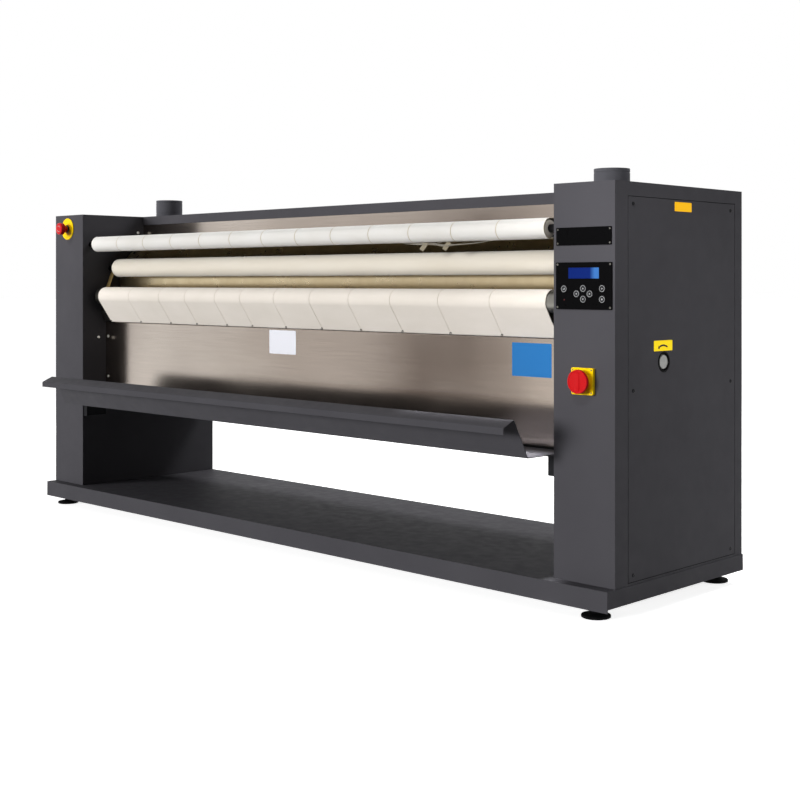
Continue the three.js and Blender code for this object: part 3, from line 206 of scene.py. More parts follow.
def brushed_stainless(name, base, shade, roughness):
    """Stainless sheet with a brushed finish: grit lines along the sheet, drawn 1.2 mm apart where
    the real ones are 0.2 mm, so that they show. They smear a reflection up and down, and a painted
    reflection makes the sheet lighter and darker in soft upright stripes half a metre wide."""
    material, tree, shader = start_material(name, base, roughness, Metallic=1.0)
    lines = noise_over(tree, (180, 1.2, 1.2), detail=4.0)
    # Painted reflection: soft upright stripes of lighter and darker colour across the sheet.
    painted_reflection_zones = noise_over(tree, (560, 2400, 2400), detail=1.0)
    cloud = noise_over(tree, (420, 300, 300))
    line_share = spread_range(tree, lines, 0.0, 0.22)
    tone = blend_colours(tree, line_share, mottle(tree, painted_reflection_zones, base, shade), colour("#6f6862"))
    tree.links.new(tone, shader.inputs["Base Color"])
    vary_roughness(tree, shader, cloud, roughness - 0.03, roughness + 0.05)
    emboss(tree, shader, lines, 0.04)
    return material


def turned_steel(name, base, shade, roughness, groove_mm=0.9):
    """Bare or plated steel turned on a lathe along X: grooves groove_mm wide round the piece, drawn
    as coarse as they need to show, and a bloom 45 mm wide in its tone and gloss."""
    material, tree, shader = start_material(name, base, roughness, Metallic=1.0)
    grooves = noise_over(tree, (groove_mm, 60, 60), detail=3.0)
    bloom = noise_over(tree, (45, 45, 45))
    tree.links.new(mottle(tree, bloom, base, shade), shader.inputs["Base Color"])
    vary_roughness(tree, shader, bloom, roughness - 0.04, roughness + 0.05)
    emboss(tree, shader, grooves, 0.02)
    return material


def cast_metal(name, base, shade, roughness):
    """Metal as cast, bare or under thin enamel: a sandy skin with grains 2.2 mm wide, and a tone
    that is darker in patches 60 mm wide."""
    material, tree, shader = start_material(name, base, roughness, Metallic=0.2)
    sand = noise_over(tree, (2.2, 2.2, 2.2), detail=5.0)
    cloud = noise_over(tree, (60, 60, 60))
    tree.links.new(mottle(tree, cloud, base, shade), shader.inputs["Base Color"])
    emboss(tree, shader, sand, 0.25)
    return material


def moulded_plastic(name, base, roughness, grain_mm=0.8, depth_mm=0.02, **sockets):
    """Injection-moulded plastic: one colour all through, with the fine spark-eroded grain of its
    mould and a little wear on the gloss."""
    material, tree, shader = start_material(name, base, roughness, IOR=1.5, **sockets)
    grain = noise_over(tree, (grain_mm, grain_mm, grain_mm))
    wear = noise_over(tree, (18, 18, 18), detail=4.0)
    vary_roughness(tree, shader, wear, roughness - 0.04, roughness + 0.08)
    emboss(tree, shader, grain, depth_mm)
    return material


WAVE_TURN = math.pi / 10  # a wave texture of scale 1 repeats after this length
PAINTED_SHADE_BEHIND = (14 * MM, 44 * MM)  # behind the top roller's axis, from pale to full painted shade
PAINTED_SHADE_BELOW = (4 * MM, -14 * MM)  # over the top roller's axis, from pale to full painted shade


def painted_shade_share(tree):
    """1 where a band comes up from the hot cylinder, behind and below the top roller, and 0 on
    the runs that are seen from the front and from above. It is the share of painted shade."""
    place = object_place(tree)
    axis = middle_of("top_roller")
    behind = ramp(tree, place["Y"], *[axis.y + reach for reach in PAINTED_SHADE_BEHIND])
    below = ramp(tree, place["Z"], *[axis.z + reach for reach in PAINTED_SHADE_BELOW])
    return calculate(tree, "MULTIPLY", behind, below)


def woven_cloth(name, base, shade, edge, thread_mm, edge_mm, painted_shade=None):
    """Woven cotton and polyester band: a plain weave drawn with threads of thread_mm where the
    real ones are 0.7 mm, a dry sheen, shallow creases, and a yellower selvedge edge_mm wide. A
    band that runs round the hot cylinder also has painted shade: a dark colour behind and below the
    top roller."""
    material, tree, shader = start_material(
        name, base, 0.92, Sheen_Weight=0.25, Sheen_Roughness=0.6
    )
    flat = add_node(tree, "ShaderNodeUVMap", uv_map="cloth").outputs["UV"]
    thread_waves = []
    for direction in ("X", "Y"):
        waves = {"Vector": flat, "Scale": WAVE_TURN / (2 * thread_mm * MM), "Distortion": 0.0}
        wave = add_node(tree, "ShaderNodeTexWave", waves, bands_direction=direction)
        thread_waves.append(wave.outputs["Fac"])
    over_under = calculate(tree, "MULTIPLY", *thread_waves)
    creases = noise_over(tree, (90, 35, 35), detail=3.0)
    stains = noise_over(tree, (150, 70, 70), detail=4.0)
    to_edge = add_node(tree, "ShaderNodeUVMap", uv_map="selvedge").outputs["UV"]
    inward = add_node(tree, "ShaderNodeSeparateXYZ", {0: to_edge}).outputs["X"]
    near_edge = ramp(tree, inward, edge_mm * MM, edge_mm * MM / 4)
    tone = blend_colours(tree, near_edge, mottle(tree, stains, base, shade), colour(edge))
    # Painted shade: the band's colour turns dark where it runs behind and below the top roller.
    if painted_shade:
        tone = blend_colours(tree, painted_shade_share(tree), tone, colour(painted_shade))
    tree.links.new(tone, shader.inputs["Base Color"])
    soft = emboss(tree, shader, creases, 1.2, 0.5)
    emboss(tree, shader, over_under, 0.22, 0.7, below=soft)
    return material


def felted_cloth(name, base, shade):
    """Loose fibre, as in the felt round a roller, a webbing strap or a lacing tape: matted, 1 to
    3 mm long, with a soft sheen."""
    material, tree, shader = start_material(
        name, base, 0.95, Sheen_Weight=0.35, Sheen_Roughness=0.5
    )
    fibre = noise_over(tree, (2.6, 1.3, 1.3), detail=6.0)
    stains = noise_over(tree, (240, 60, 60), detail=4.0)
    tree.links.new(mottle(tree, stains, base, shade), shader.inputs["Base Color"])
    emboss(tree, shader, fibre, 0.35, 0.8)
    return material


def printed_vinyl(name, base, glow=0.0):
    """Self-adhesive vinyl: smooth, satin, and slightly rippled where it was rubbed down. A glow is
    painted light: the label shines in its own colour, however it is lit."""
    material, tree, shader = start_material(
        name, base, 0.42, Specular_IOR_Level=0.12, Emission_Color=colour(base),
        Emission_Strength=glow,
    )
    ripple = noise_over(tree, (22, 22, 22))
    emboss(tree, shader, ripple, 0.15, 0.5)
    return material


def display_glass(name, base, lit):
    """Backlit liquid-crystal screen behind glass: dark blue, with its lamp glowing at the right
    end, from 22 to 38 mm past the keypad's middle."""
    material, tree, shader = start_material(
        name, base, 0.2, Specular_IOR_Level=0.04, Emission_Strength=0.25
    )
    middle = middle_of("keypad_plate").x
    share = ramp(tree, object_place(tree)["X"], middle + 22 * MM, middle + 38 * MM)
    glow = blend_colours(tree, share, colour(base), colour(lit))
    tree.links.new(glow, shader.inputs["Base Color"])
    tree.links.new(glow, shader.inputs["Emission Color"])
    return material


front_paint = powder_coat("anthracite_powder_coat", "#4b4a4e", "#47464a", 0.58)
inner_paint = powder_coat("dark_powder_coat", "#242426", "#202022", 0.6)
duct_paint = powder_coat("duct_enamel", "#57575c", "#4e4e53", 0.5)
# the two colours are the light and dark of a painted reflection across the sheets
panel_steel = brushed_stainless("brushed_stainless", "#d2c8be", "#b4a9a0", 0.17)
cylinder_steel = turned_steel("waxed_cylinder_steel", "#e2d2ae", "#dac8a2", 0.3, groove_mm=2.0)
roller_steel = turned_steel("turned_steel", "#8f8d86", "#77756f", 0.34)
dull_zinc = cast_metal("dull_zinc_casting", "#b9bab7", "#9e9e9c", 0.6)
bright_zinc = turned_steel("bright_zinc_plated_steel", "#e6e6e2", "#d2d2cc", 0.4, groove_mm=1.5)
black_screw = turned_steel("blackened_steel", "#2c2c2e", "#222224", 0.4, groove_mm=1.2)
grey_iron = cast_metal("painted_cast_iron", "#5b5c5e", "#4c4d4f", 0.7)
motor_grey = cast_metal("motor_enamel", "#54575b", "#46494c", 0.5)
foot_rubber = moulded_plastic(
    "black_rubber", "#0d0d0e", 0.8, grain_mm=1.4, depth_mm=0.06, Specular_IOR_Level=0.1
)
matt_black = moulded_plastic("black_polyamide", "#141416", 0.5, Specular_IOR_Level=0.3)
gloss_black = moulded_plastic(
    "black_acrylic", "#060607", 0.3, grain_mm=1.0, depth_mm=0.004, Specular_IOR_Level=0.03
)
yellow = moulded_plastic("yellow_polycarbonate", "#fbd206", 0.4, Specular_IOR_Level=0.2)
red = moulded_plastic("red_polycarbonate", "#bf0a12", 0.34, Specular_IOR_Level=0.25)
print_grey = printed_vinyl("pale_grey_print", "#a9abad")
white_label = printed_vinyl("white_vinyl", "#e6e7ee")
blue_label = printed_vinyl("blue_vinyl", "#2c70ae")
# The two labels on the right door glow in their own colour: painted light.
amber_label = printed_vinyl("amber_vinyl", "#f6b80e", glow=0.5)
lemon_label = printed_vinyl("lemon_vinyl", "#f8d81a", glow=0.5)
black_print = printed_vinyl("black_print", "#161617")
lamp_red = moulded_plastic("red_lamp_lens", "#4a1012", 0.2)  # unlit
screen_blue = display_glass("display_glass", "#0b1f5e", "#3463a0")
band_cloth = woven_cloth(
    "white_band_cloth", "#e9e7e3", "#e2dfd9", edge="#cfc3a8", thread_mm=1.6, edge_mm=1.8,
    # painted shade on the runs behind and below the top roller
    painted_shade="#2e2820",
)
apron_cloth = woven_cloth(
    "cream_apron_cloth", "#eee6dc", "#e8e0d5", edge="#e0d7c9", thread_mm=1.6, edge_mm=1.2
)
roller_felt = felted_cloth("cream_roller_felt", "#e3dccf", "#ddd5c6")
strap_cloth = felted_cloth("tan_webbing", "#a9905c", "#8f7847")
lacing_cloth = felted_cloth("drab_lacing", "#9a917d", "#857c67")

# ---------------------------------------------------------------- mesh tools


PLATE_DEGREES = 10  # a flat plate is shaded flat right up to its eased edge
CLOTH_DEGREES = 60  # cloth is shaded smooth over all but its edges
TOUCHING = 1e-6  # metres: points that lie closer are one point
CAD_TOUCHING = 1e-5  # the same for a CAD node's triangles
CORNER_STEPS = 5
CORNER_SHARE = 0.48  # the most of a side that the arc at one of its ends may take
NEARLY_STRAIGHT = math.radians(89)  # half the angle at a corner that stays as it is
Z_TO_X = Matrix.Rotation(math.pi / 2, 4, "Y")
Z_TO_Y = Matrix.Rotation(-math.pi / 2, 4, "X")


def add_piece(name, mesh, material, body="frame", smooth_degrees=35):
    """Puts a mesh in the scene, smooth but for its real edges, riding on its body. The material
    is None for a mesh that has its own."""
    piece = bpy.data.objects.new(name, mesh)
    scene.collection.objects.link(piece)
    if material is not None:
        mesh.materials.append(material)
    mesh.shade_smooth()
    mesh.set_sharp_from_angle(angle=math.radians(smooth_degrees))
    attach(piece, body)
    return piece


def weld(mesh):
    """Makes touching points one, and turns all faces outwards."""
    welded = bmesh.new()
    welded.from_mesh(mesh)
    bmesh.ops.remove_doubles(welded, verts=welded.verts, dist=TOUCHING)
    bmesh.ops.recalc_face_normals(welded, faces=welded.faces)
    welded.to_mesh(mesh)
    welded.free()


def mesh_of(name, points, faces):
    """A mesh from its points and the numbers of each face's points."""
    mesh = bpy.data.meshes.new(name)
    mesh.from_pydata([tuple(p) for p in points], [], faces)
    weld(mesh)
    mesh.update()
    return mesh


def turned_mesh(name, profile, segments=96):
    """A lathe-turned mesh about Z. The profile is a list of (radius, height), from one end of
    the axis to the other, or closed on itself for a ring."""
    points, faces = [], []
    for radius, height in profile:
        for k in range(segments):
            angle = 2 * math.pi * k / segments
            points.append((radius * math.cos(angle), radius * math.sin(angle), height))
    for i in range(len(profile) - 1):
        for k in range(segments):
            j = (k + 1) % segments
            a, b = i * segments, (i + 1) * segments
            faces.append((a + k, a + j, b + j, b + k))
    return mesh_of(name, points, faces)


def rounded(corners, radius, closed=False):
    """A polyline with each corner rounded by an arc of that radius, as [(a, b), ...]. An arc takes
    less than half of a short side, and a corner that is nearly straight stays."""
    found = []
    count = len(corners)
    for i, corner in enumerate(corners):
        here = Vector(corner)
        to_last = Vector(corners[i - 1]) - here
        to_next = Vector(corners[(i + 1) % count]) - here
        back, ahead = to_last.normalized(), to_next.normalized()
        half = back.angle(ahead) / 2
        is_end = not closed and i in (0, count - 1)
        if is_end or half > NEARLY_STRAIGHT:
            found.append(tuple(corner))
            continue
        longest = CORNER_SHARE * min(to_last.length, to_next.length)
        reach = min(radius / math.tan(half), longest)
        inner = reach * math.tan(half)
        centre = here + (back + ahead).normalized() * (inner / math.sin(half))
        start, end = here + back * reach, here + ahead * reach
        first = math.atan2(*(start - centre).yx)
        sweep = math.atan2(*(end - centre).yx) - first
        sweep = (sweep + math.pi) % (2 * math.pi) - math.pi
        for k in range(CORNER_STEPS + 1):
            angle = first + sweep * k / CORNER_STEPS
            found.append((centre.x + inner * math.cos(angle), centre.y + inner * math.sin(angle)))
    return found


def rectangle(width, height, x=0.0, y=0.0):
    """The corners of a rectangle whose middle is at (x, y)."""
    return [
        (x - width / 2, y - height / 2),
        (x + width / 2, y - height / 2),
        (x + width / 2, y + height / 2),
        (x - width / 2, y + height / 2),
    ]


def rounded_rectangle(width, height, radius, x=0.0, y=0.0):
    """The outline of a rectangle with rounded corners, whose middle is at (x, y)."""
    return rounded(rectangle(width, height, x, y), radius, closed=True)


def circle(radius, x=0.0, y=0.0):
    """The outline of a circle whose middle is at (x, y)."""
    steps = 40
    angles = [2 * math.pi * k / steps for k in range(steps)]
    return [(x + radius * math.cos(a), y + radius * math.sin(a)) for a in angles]


def plate_mesh(name, outline, holes, thickness, bevel):
    """A flat plate in the XY plane with holes, from z = 0 up, its edges eased by bevel."""
    curve = bpy.data.curves.new(name, "CURVE")
    curve.dimensions = "2D"
    curve.fill_mode = "BOTH"
    curve.extrude = thickness / 2 - bevel
    curve.bevel_depth = bevel
    curve.bevel_resolution = 2
    curve.offset = -bevel
    for points in [outline, *holes]:
        line = curve.splines.new("POLY")
        line.points.add(len(points) - 1)
        for point, (x, y) in zip(line.points, points):
            point.co = (x, y, 0, 1)
        line.use_cyclic_u = True
    drawn = bpy.data.objects.new(name, curve)
    scene.collection.objects.link(drawn)
    bpy.context.view_layer.update()
    evaluated = drawn.evaluated_get(bpy.context.evaluated_depsgraph_get())
    mesh = bpy.data.meshes.new_from_object(evaluated)
    bpy.data.objects.remove(drawn)
    bpy.data.curves.remove(curve)
    mesh.name = name
    mesh.transform(Matrix.Translation((0, 0, thickness / 2)))
    weld(mesh)
    return mesh


def on_front(x, y, z):
    """Takes a plate's XY plane to a face that looks along -Y, with X staying X and Y going up."""
    return Matrix.Translation((x, y, z)) @ Matrix.Rotation(math.pi / 2, 4, "X")


def on_rear(x, y, z):
    """Takes a plate's XY plane to a face that looks along +Y."""
    return Matrix.Translation((x, y, z)) @ Matrix.Rotation(-math.pi / 2, 4, "X")


def on_side(x, y, z, side=1):
    """Takes a plate's XY plane to a face that looks along +X, or along -X where side is -1."""
    return (
        Matrix.Translation((x, y, z))
        @ Matrix.Rotation(side * math.pi / 2, 4, "Z")
        @ Matrix.Rotation(math.pi / 2, 4, "X")
    )


def joined(name, meshes):
    """One mesh from several, each keeping its own materials."""
    made = bmesh.new()
    materials = []
    for mesh in meshes:
        part = bmesh.new()
        part.from_mesh(mesh)
        shift = len(materials)
        for face in part.faces:
            face.material_index += shift
        materials += list(mesh.materials)
        scratch = bpy.data.meshes.new("scratch")
        part.to_mesh(scratch)
        part.free()
        made.from_mesh(scratch)
        bpy.data.meshes.remove(scratch)
    mesh = bpy.data.meshes.new(name)
    made.to_mesh(mesh)
    made.free()
    for material in materials:
        mesh.materials.append(material)
    return mesh


def painted(mesh, material, matrix=None):
    """Gives a mesh its material, and its place where a matrix is given."""
    if matrix is not None:
        mesh.transform(matrix)
    mesh.materials.append(material)
    return mesh


def tube_mesh(name, line, radius):
    """A round wire along a line of points."""
    sides = 10
    points, faces = [], []
    line = [Vector(p) for p in line]
    up = Vector((0.13, 0.31, 0.94)).normalized()  # along none of the wires
    for i, place in enumerate(line):
        heading = (line[min(i + 1, len(line) - 1)] - line[max(i - 1, 0)]).normalized()
        across = heading.cross(up).normalized()
        up = across.cross(heading).normalized()
        for k in range(sides):
            angle = 2 * math.pi * k / sides
            points.append(place + radius * (math.cos(angle) * across + math.sin(angle) * up))
    for i in range(len(line) - 1):
        for k in range(sides):
            j = (k + 1) % sides
            faces.append((i * sides + k, i * sides + j, (i + 1) * sides + j, (i + 1) * sides + k))
    faces.append(tuple(range(sides)))
    faces.append(tuple(range((len(line) - 1) * sides, len(line) * sides)))
    return mesh_of(name, points, faces)


def drawn_out(name, outline, x0, x1):
    """A closed (y, z) outline drawn out along X, with end faces."""
    count = len(outline)
    points = [(x, y, z) for x in (x0, x1) for y, z in outline]
    faces = [(i, (i + 1) % count, count + (i + 1) % count, count + i) for i in range(count)]
    faces += [tuple(range(count)), tuple(range(count, 2 * count))]
    return mesh_of(name, points, faces)


def folded_sheet(name, corners, thickness, bend, x0, x1):
    """Sheet metal folded along X. The corners are its middle line and bend its inner radius."""
    line = rounded(corners, bend + thickness / 2)
    sides = {1: [], -1: []}
    for i, (y, z) in enumerate(line):
        before, after = line[max(i - 1, 0)], line[min(i + 1, len(line) - 1)]
        along = Vector((after[0] - before[0], after[1] - before[1])).normalized()
        for side, found in sides.items():
            offset = side * thickness / 2
            found.append((y - along.y * offset, z + along.x * offset))
    return drawn_out(name, sides[1] + sides[-1][::-1], x0, x1)


def soften_edges(name, width_mm):
    """Eases a CAD node's sharp edges, as folded and cut metal has them."""
    piece = nodes[name]
    flat_degrees, sharp_degrees = 1, 40
    close = piece.modifiers.new("weld", "WELD")
    close.merge_threshold = CAD_TOUCHING
    flat = piece.modifiers.new("flat", "DECIMATE")
    flat.decimate_type = "DISSOLVE"
    flat.angle_limit = math.radians(flat_degrees)
    ease = piece.modifiers.new("ease", "BEVEL")
    ease.width = width_mm * MM
    ease.segments = 2
    ease.limit_method = "ANGLE"
    ease.angle_limit = math.radians(sharp_degrees)
    ease.harden_normals = True


def dress(name, material, ease_mm=0.0):
    """Gives a CAD node its finish, and eased edges where ease_mm is more than nothing."""
    piece = nodes[name]
    piece.data.materials.clear()
    piece.data.materials.append(material)
    if ease_mm:
        soften_edges(name, ease_mm)


# ---------------------------------------------------------------- bodywork


def screw_mesh(name, radius, height, material):
    """A pan-head screw standing on z = 0, with a cross sunk in its head."""
    crown = [(1, 0.35), (0.93, 0.72), (0.74, 0.94), (0.62, 1)]  # shares of the radius and height
    profile = [(0, 0), (radius, 0)] + [(radius * r, height * h) for r, h in crown]
    head = turned_mesh(name, profile, 32)
    wing, width, flat_radius, sunk_to = radius * 0.56, radius * 0.17, radius * 0.62, height * 0.35
    corners = []
    quarter = [(wing, width), (width, width), (width, wing)]
    for _ in range(4):
        corners += quarter
        quarter = [(-y, x) for x, y in quarter]
    rim = [tuple(Vector(corner).normalized() * flat_radius) for corner in corners]
    count = len(corners)
    points = [(x, y, height) for x, y in rim]
    points += [(x, y, height) for x, y in corners]
    points += [(x, y, sunk_to) for x, y in corners]
    faces = []
    for i in range(count):
        j = (i + 1) % count
        faces.append((i, j, count + j, count + i))
        faces.append((count + i, count + j, 2 * count + j, 2 * count + i))
    faces.append(tuple(range(2 * count, 3 * count)))
    top = mesh_of(name + "_top", points, faces)
    return painted(joined(name, [head, top]), material)


SCREW_STOP = 0.7  # radians: each screw of a set stops that much further round than the last


def screws(name, places, matrix_at, radius_mm, height_mm, material):
    """A set of like screws as one piece. matrix_at puts a plate's plane at a place."""
    heads = []
    for k, place in enumerate(places):
        mesh = screw_mesh(f"{name}_{k}", radius_mm * MM, height_mm * MM, material)
        mesh.transform(matrix_at(*place) @ Matrix.Rotation(SCREW_STOP * k, 4, "Z"))
        heads.append(mesh)
    add_piece(name, joined(name, heads), None)


for name in ("base_plate", "left_pedestal_shell", "right_pedestal_shell", "top_cover", "rear_cover"):
    dress(name, front_paint, 0.9)
for name in ("left_service_door", "right_service_door"):
    dress(name, front_paint, 0.7)
for name in ("bottom_pan", "left_tray_bracket", "right_tray_bracket", "electrical_box"):
    dress(name, inner_paint, 0.5)
dress("upper_panel", panel_steel, 0.3)


def door_screws(side):
    """Six screws in three pairs: near the top, a little below the middle and near the foot."""
    low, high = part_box(f"{side}_service_door")
    sign = 1 if side == "right" else -1
    inset = 24 * MM
    rows = [high.z - 20 * MM, (low.z + high.z) / 2 - 5 * MM, low.z + 18 * MM]
    places = [(sign * SIDE_X, y, z, sign) for z in rows for y in (low.y + inset, high.y - inset)]
    screws(f"{side}_door_screws", places, on_side, 6.0, 2.4, black_screw)


def door_gasket(side):
    """Black foam in the joint round a service door, a little below both faces."""
    low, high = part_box(f"{side}_service_door")
    sign = 1 if side == "right" else -1
    reach, clear, thickness, face_drop = 1.8 * MM, 0.2 * MM, 1.4 * MM, 2.3 * MM
    width, height = high.y - low.y, high.z - low.z
    outer = rectangle(width + 2 * reach, height + 2 * reach)
    inner = rectangle(width + 2 * clear, height + 2 * clear)[::-1]
    mesh = plate_mesh(f"{side}_door_gasket", outer, [inner], thickness, 0.2 * MM)
    place = (sign * (SIDE_X - face_drop), (low.y + high.y) / 2, (low.z + high.z) / 2, sign)
    mesh.transform(on_side(*place))
    add_piece(f"{side}_door_gasket", mesh, foot_rubber)


def casing_screws():
    """A pair near each end of the stainless panel, two on each pedestal's inner face that hold the
    beams, and a row along the rear cover's top and foot."""
    at_panel = [
        (sign * (INNER_X - 18 * MM), PANEL_Y, z * MM) for sign in (-1, 1) for z in (710, 541)
    ]
    screws("panel_screws", at_panel, on_front, 6.4, 3.0, bright_zinc)
    at_beams = [
        (sign * INNER_X, FRONT_Y + y * MM, z * MM, -sign)
        for sign in (-1, 1)
        for y, z in ((76, 706), (273, 1150))
    ]
    screws("frame_screws", at_beams, on_side, 6.4, 3.0, bright_zinc)
    at_cover = [(x * MM, REAR_Y, z * MM) for x in range(-1200, 1201, 400) for z in (460, 1200)]
    screws("rear_cover_screws", at_cover, on_rear, 5.0, 2.2, black_screw)


for side in ("left", "right"):
    door_screws(side)
    door_gasket(side)
casing_screws()

TRAY_SHEET = 2 * MM
PANEL_SHEET = 1.5 * MM


def linen_tray():
    """The tray's folded sheet, with the bends that a press brake leaves."""
    lip, rim, crest = (-200, 514), (-200, 533), (-155, 553)
    floor_front, floor_back = (-92, 439.5), (110, 439.5)
    corners = [lip, rim, crest, floor_front, floor_back]  # from the pedestals' face, in mm
    line = [(FRONT_Y + y * MM, z * MM) for y, z in corners]
    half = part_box("linen_tray")[1].x
    mesh = folded_sheet("linen_tray_sheet", line, TRAY_SHEET, 3 * MM, -half, half)
    tray = add_piece("linen_tray_sheet", mesh, front_paint)
    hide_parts("linen_tray")


def lower_panel():
    """The stainless sheet that the linen slides down, its top edge folded back."""
    low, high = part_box("lower_panel")
    fold_z = 771 * MM
    line = [
        (low.y + PANEL_SHEET / 2, low.z),
        (low.y + PANEL_SHEET / 2, fold_z),
        (high.y - PANEL_SHEET / 2, high.z - PANEL_SHEET / 2),
    ]
    mesh = folded_sheet("lower_panel_sheet", line, PANEL_SHEET, 4 * MM, low.x, high.x)
    panel = add_piece("lower_panel_sheet", mesh, panel_steel)
    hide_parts("lower_panel")


def tray_seal():
    """The black rubber strip that closes the joint between the panel's foot and the tray."""
    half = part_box("linen_tray")[1].x
    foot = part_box("linen_tray")[0].z + TRAY_SHEET + 0.2 * MM
    top, nose_top = foot + 6.8 * MM, foot + 2.8 * MM
    back, ridge, nose = PANEL_Y - 0.1 * MM, PANEL_Y - 2 * MM, PANEL_Y - 5 * MM
    outline = [(nose, foot), (back, foot), (back, top), (ridge, top), (nose, nose_top)]
    strip = drawn_out("tray_seal", outline, -half, half)
    add_piece("tray_seal", strip, foot_rubber)


linen_tray()
lower_panel()
tray_seal()

# ---------------------------------------------------------------- feet


def hexagon_mesh(name, across_flats, height, chamfer):
    """A hexagon nut on z = 0, with its corners turned off at both ends."""
    corner = across_flats / math.sqrt(3)
    profile = [
        (0, 0), (corner - chamfer, 0), (corner, chamfer * 0.6), (corner, height - chamfer * 0.6),
        (corner - chamfer, height), (0, height),
    ]
    return turned_mesh(name, profile, 6)


def levelling_foot(node):
    """A rubber-faced disc on a threaded stem, with a nut above the disc and a lock nut under the
    base."""
    low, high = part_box(node)
    x, y = (low.x + high.x) / 2, (low.y + high.y) / 2
    radius = (high.x - low.x) / 2
    neck_top, stem_base = 17 * MM, 10 * MM
    disc = [
        (0, 0), (radius - 2 * MM, 0), (radius, 1.5 * MM), (radius, 6 * MM),
        (radius - 1.5 * MM, 8 * MM), (radius * 0.62, stem_base), (radius * 0.36, 13 * MM),
        (radius * 0.3, neck_top), (0, neck_top),
    ]
    pitch, crest, root = 1.5 * MM, 7.9 * MM, 7.0 * MM
    thread = [(0, stem_base)]
    for k in range(int((high.z - 12 * MM) / pitch)):
        thread.append((crest, stem_base + (k + 0.25) * pitch))
        thread.append((root, stem_base + (k + 0.75) * pitch))
    thread.append((0, high.z))
    parts = [
        painted(turned_mesh("pad", disc, 64), foot_rubber),
        painted(turned_mesh("stem", thread, 24), black_screw),
    ]
    for base in (19 * MM, 62 * MM):
        nut = hexagon_mesh("nut", 23 * MM, 10 * MM, 1.6 * MM)
        parts.append(painted(nut, black_screw, Matrix.Translation((0, 0, base))))
    mesh = joined(node + "_detail", parts)
    mesh.transform(Matrix.Translation((x, y, 0)))
    piece = add_piece(node + "_detail", mesh, None)
    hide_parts(node)


for name in ("foot_front_left", "foot_front_right", "foot_rear_left", "foot_rear_right"):
    levelling_foot(name)

# ---------------------------------------------------------------- exhaust ducts and fans

FAN_MOTOR_LOW, FAN_MOTOR_HIGH = 1158 * MM, 1190 * MM
FAN_HUB_LOW, FAN_HUB_HIGH = 1193 * MM, 1211 * MM
FAN_HUB_RADIUS = 17 * MM  # the motor's too
FAN_BLADES = 5


def duct_tube(low_z, bead_z, high_z, outer, wall):
    """The duct's profile: a tube with a shallow groove at bead_z and one below its rim."""
    groove = outer - 0.8 * MM
    profile = [(outer - wall, low_z), (outer, low_z)]
    for z in (bead_z, high_z - 14 * MM):
        profile += [
            (outer, z), (groove, z + 1 * MM), (groove, z + 3 * MM), (outer, z + 4 * MM),
        ]
    return profile + [
        (outer, high_z - 1 * MM), (outer - 0.5 * MM, high_z), (outer - wall + 0.4 * MM, high_z),
        (outer - wall, high_z - 0.5 * MM), (outer - wall, low_z),
    ]


def exhaust_duct(side):
    """The duct with its flange under the top cover, and the fan's motor held by three arms."""
    node = f"{side}_exhaust_duct"
    low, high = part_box(node)
    centre = middle_of(node)
    cover_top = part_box("top_cover")[1].z
    outer, wall = 56 * MM, 2 * MM
    flange_top, sheet, flange_radius = cover_top - 2.8 * MM, 2.8 * MM, 72 * MM
    seam = outer - 0.5 * MM
    flange = [
        (seam, flange_top - sheet), (flange_radius, flange_top - sheet),
        (flange_radius, flange_top), (seam, flange_top), (seam, flange_top - sheet),
    ]
    shoulder = FAN_HUB_RADIUS - 1.5 * MM
    motor = [
        (0, FAN_MOTOR_LOW), (shoulder, FAN_MOTOR_LOW), (FAN_HUB_RADIUS, FAN_MOTOR_LOW + 2 * MM),
        (FAN_HUB_RADIUS, FAN_MOTOR_HIGH - 2 * MM), (shoulder, FAN_MOTOR_HIGH),
        (0, FAN_MOTOR_HIGH),
    ]
    tube = duct_tube(low.z, cover_top + 12 * MM, high.z, outer, wall)
    parts = [
        painted(turned_mesh("tube", tube), duct_paint),
        painted(turned_mesh("flange", flange), duct_paint),
        painted(turned_mesh("motor", motor, 48), matt_black),
    ]
    arm_outline = rounded_rectangle(39 * MM, 8 * MM, 1.5 * MM, x=35.5 * MM)
    for k in range(3):
        arm = plate_mesh("arm", arm_outline, [], 12 * MM, 1 * MM)
        turned = Matrix.Rotation(2 * math.pi * k / 3, 4, "Z")
        place = Matrix.Translation((0, 0, FAN_MOTOR_LOW)) @ turned
        parts.append(painted(arm, matt_black, place))
    mesh = joined(node + "_tube", parts)
    mesh.transform(Matrix.Translation((centre.x, centre.y, 0)))
    piece = add_piece(node + "_tube", mesh, None)
    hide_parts(node)


def fan_blade(height):
    """A blade along X at that height. It twists from 46 degrees at its root to 28 at its tip, and
    its section is a thin arc, thickest in the middle."""
    stations, across = 8, 6
    root, reach, camber, half_thickness = 16 * MM, 33.5 * MM, 1.4 * MM, 1.0 * MM
    points, faces = [], []
    for i in range(stations + 1):
        radius = root + reach * i / stations
        pitch = math.radians(46 - 18 * i / stations)
        chord = (17 - 1.0 * i / stations) * MM
        for surface in (1, -1):
            for j in range(across + 1):
                share = 2 * j / across - 1
                bow = (1 - share**2) * camber
                offset = bow + surface * half_thickness * (1 - share**2 * 0.8)
                along = share * chord / 2
                y = along * math.cos(pitch) - offset * math.sin(pitch)
                z = along * math.sin(pitch) + offset * math.cos(pitch)
                points.append((radius, y, height + z))
    row = 2 * (across + 1)
    loop = list(range(across + 1)) + list(range(row - 1, across, -1))
    for i in range(stations):
        for a, b in zip(loop, loop[1:] + loop[:1]):
            faces.append((i * row + a, i * row + b, (i + 1) * row + b, (i + 1) * row + a))
    for end in (0, stations * row):
        faces.append(tuple(end + k for k in loop))
    return mesh_of("blade", points, faces)


